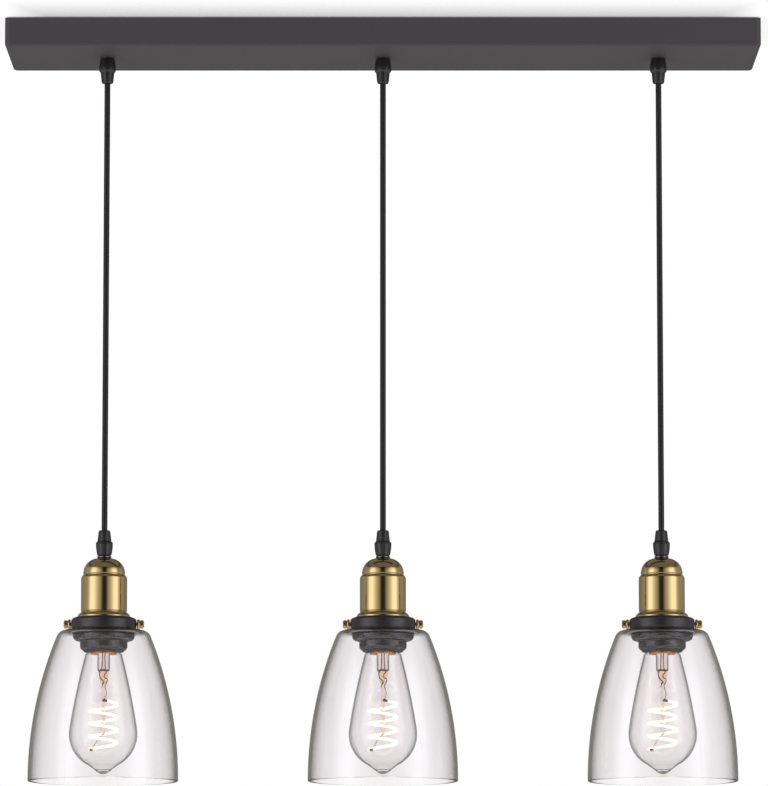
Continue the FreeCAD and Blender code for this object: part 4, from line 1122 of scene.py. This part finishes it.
# %% Rod, leads and clips
ROD_RADIUS = 1.6
COIL_RADIUS = 12.8
COIL_TOP = PINCH_DROP - 28.5
COIL_HEIGHT = 44.3
COIL_TURNS = 3.75
COIL_START_DEG = -68
COIL_WIRE = 2.3
ROD_TOP = PINCH_DROP - PINCH_LENGTH
ROD_LOW = PINCH_DROP - 59.0
rod_section = eased([
    (0.0, ROD_TOP + 0.8), (1.2, ROD_TOP + 0.8, 0.3), (ROD_RADIUS, ROD_TOP - 3.0, 1.0),
    (ROD_RADIUS, ROD_LOW + 0.9, 0.6), (0.9, ROD_LOW, 0.5), (0.0, ROD_LOW),
])
hang(turn_section(rod_section, BULB_NECK, 24), "bulb_rod", "bulb_{}", "bulb_clear", "rod_glass")


def coil_point(turns):
    """The filament's centre line after some turns from its upper end, and the way it runs there."""
    angle = math.radians(COIL_START_DEG) + math.tau * turns
    pitch = COIL_HEIGHT / COIL_TURNS
    height = COIL_TOP - pitch * turns
    point = Vector((COIL_RADIUS * math.cos(angle), COIL_RADIUS * math.sin(angle), height))
    along = Vector((-math.sin(angle), math.cos(angle), -pitch / (math.tau * COIL_RADIUS)))
    return point, along.normalized()


def round_line(name, points, radius, roundness, fineness):
    """A smooth curve by points in metres, with a round bevel and closed ends."""
    line = bpy.data.curves.new(name, "CURVE")
    line.dimensions = "3D"
    line.bevel_depth = radius
    line.bevel_resolution = roundness
    line.use_fill_caps = True
    spline = line.splines.new("NURBS")
    spline.points.add(len(points) - 1)
    for spot, point in zip(spline.points, points):
        spot.co = (*point, 1)
    spline.order_u = 3
    spline.use_endpoint_u = True
    spline.resolution_u = fineness
    piece = bpy.data.objects.new(name, line)
    bpy.context.scene.collection.objects.link(piece)
    return piece


def bent_wire(name, points, radius):
    """A thin wire through given points, in millimetres from the neck, as a mesh."""
    choose(round_line(name, [(x * MM, y * MM, BULB_NECK + z * MM) for x, y, z in points], radius * MM, 3, 6))
    bpy.ops.object.convert(target="MESH")
    return smooth(bpy.context.object, 50)


def clip_on(turns, way):
    """A small folded clip over one end of the filament."""
    point, along = coil_point(turns)
    centre = point + along * way * 3.0
    clip = begin("cylinder", vertices=20, radius=1.25 * MM, depth=4.4 * MM)
    apply_modifier(clip, "BEVEL", width=0.35 * MM, segments=3, limit_method="ANGLE")
    turn = (along * way).to_track_quat("Z", "Y").to_matrix().to_4x4()
    clip.data.transform(moved_to(centre.x * MM, centre.y * MM, BULB_NECK + centre.z * MM) @ turn)
    return smooth(clip, 50), point + along * way * 4.2


top_clip, top_end = clip_on(0, -1)
bottom_clip, bottom_end = clip_on(COIL_TURNS, 1)
hang(join(top_clip, bottom_clip), "filament_clips", "bulb_{}", "filament", "support_wire")

# %% Leads and supports
top = PINCH_DROP
left_lead = bent_wire("left_lead", [
    (-1.1, 0, 0), (-1.1, 0, top + 1), (-3.6, -0.6, top - 0.6), (-3.9, -0.8, top - 3.8),
    (-2.2, -0.4, top - 7.4), (0.9, 0.3, top - 9.4), (-1.0, 0.2, top - 12.5), (-1.3, 0, top - 15.0),
], 0.45)
right_lead = bent_wire("right_lead", [
    (1.2, 0, 0), (1.2, 0, top + 1), (3.3, 0.7, top - 0.9), (0.4, 0.9, top - 2.8), (0.9, 0.9, top - 6.2),
    (3.7, 0.6, top - 6.6), (3.4, 0.2, top - 10.2), (1.3, -0.2, top - 12.6), (1.5, -0.4, top - 15.0),
], 0.45)
hang(join(left_lead, right_lead), "folded_leads", "bulb_{}", "filament", "lead_wire")

upper_support = bent_wire("upper_support", [
    (1.5, -0.4, top - 14.5), (2.6, -1.6, top - 17.0), (3.4, -7.6, COIL_TOP + 5.5), tuple(top_end),
], 0.28)
lower_support = bent_wire("lower_support", [
    (0, 0, ROD_LOW + 1.0), (-3.0, -1.0, ROD_LOW - 1.6), (-7.6, -3.4, ROD_LOW - 9.0), tuple(bottom_end),
], 0.28)
supports = join(upper_support, lower_support)
hang(supports, "filament_supports", "bulb_{}", "filament", "support_wire")

# %% [markdown]
# ## The filament
# One wire winds down a cylinder round the rod, three and three quarter times. A circle with a Screw
# modifier makes it in one go, and it is then turned so that its two ends meet their clips. The open
# ends are filled before the normals are recalculated.

# %% Filament
coil = begin(
    "circle", vertices=12, radius=COIL_WIRE / 2 * MM,
    location=(COIL_RADIUS * MM, 0, BULB_NECK + COIL_TOP * MM), rotation=(math.pi / 2, 0, 0),
)
apply_modifier(
    coil, "SCREW", angle=math.tau * COIL_TURNS, screw_offset=-COIL_HEIGHT * MM,
    steps=180, render_steps=180, use_merge_vertices=True,
)
coil.data.transform(Matrix.Rotation(math.radians(COIL_START_DEG), 4, "Z"))
bpy.ops.object.mode_set(mode="EDIT")
bpy.ops.mesh.select_all(action="SELECT")
bpy.ops.mesh.fill_holes(sides=12)
bpy.ops.mesh.normals_make_consistent(inside=False)
bpy.ops.object.mode_set(mode="OBJECT")
hang(smooth(coil, 60), "bulb_spiral", "bulb_{}", "filament", "glowing_filament")

# %% [markdown]
# ## Cords
# Each cord hangs straight under its pendant's weight, so its route is one straight line from the
# upper grip's mouth to the lower grip's. It is a smooth curve with a round bevel.

# %% Cords
CORD_RADIUS = 2.75 * MM
CORD_LENGTH = GRIP_MOUTH_UP - GRIP_MOUTH_DOWN
for number in PENDANTS:
    route = [Vector((AXIS_X[number], 0, GRIP_MOUTH_UP - CORD_LENGTH * k / 4)) for k in range(5)]
    cord = round_line(f"hanging_cord_{number}", route, CORD_RADIUS, 8, 8)
    cord.data.materials.append(FINISHES["cord_jacket"])
    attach(cord, f"pendant_{number}")
    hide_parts(f"cord_{number}")
print("cords of", round(CORD_LENGTH, 3), "m")

# %% [markdown]
# ## The frame's own pieces
# The mounting bar, the wires, the soft inserts and the contacts have the right shape already. They
# stay as the frame has them and only get a finish.

# %% Finishes of the frame's pieces
KEPT = {"mounting_bar": "zinc_plate", "supply_wires": "wire_insulation"}
for number in PENDANTS:
    KEPT[f"grip_insert_{number}"] = "cord_jacket"
    KEPT[f"lamp_contacts_{number}"] = "contact_copper"
for node, finish in KEPT.items():
    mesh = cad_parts[node].data
    mesh.materials.clear()
    mesh.materials.append(FINISHES[finish])
print("finished", len(KEPT), "pieces of the frame")

# %% Colour view
bpy.context.scene.view_settings.view_transform = "Standard"
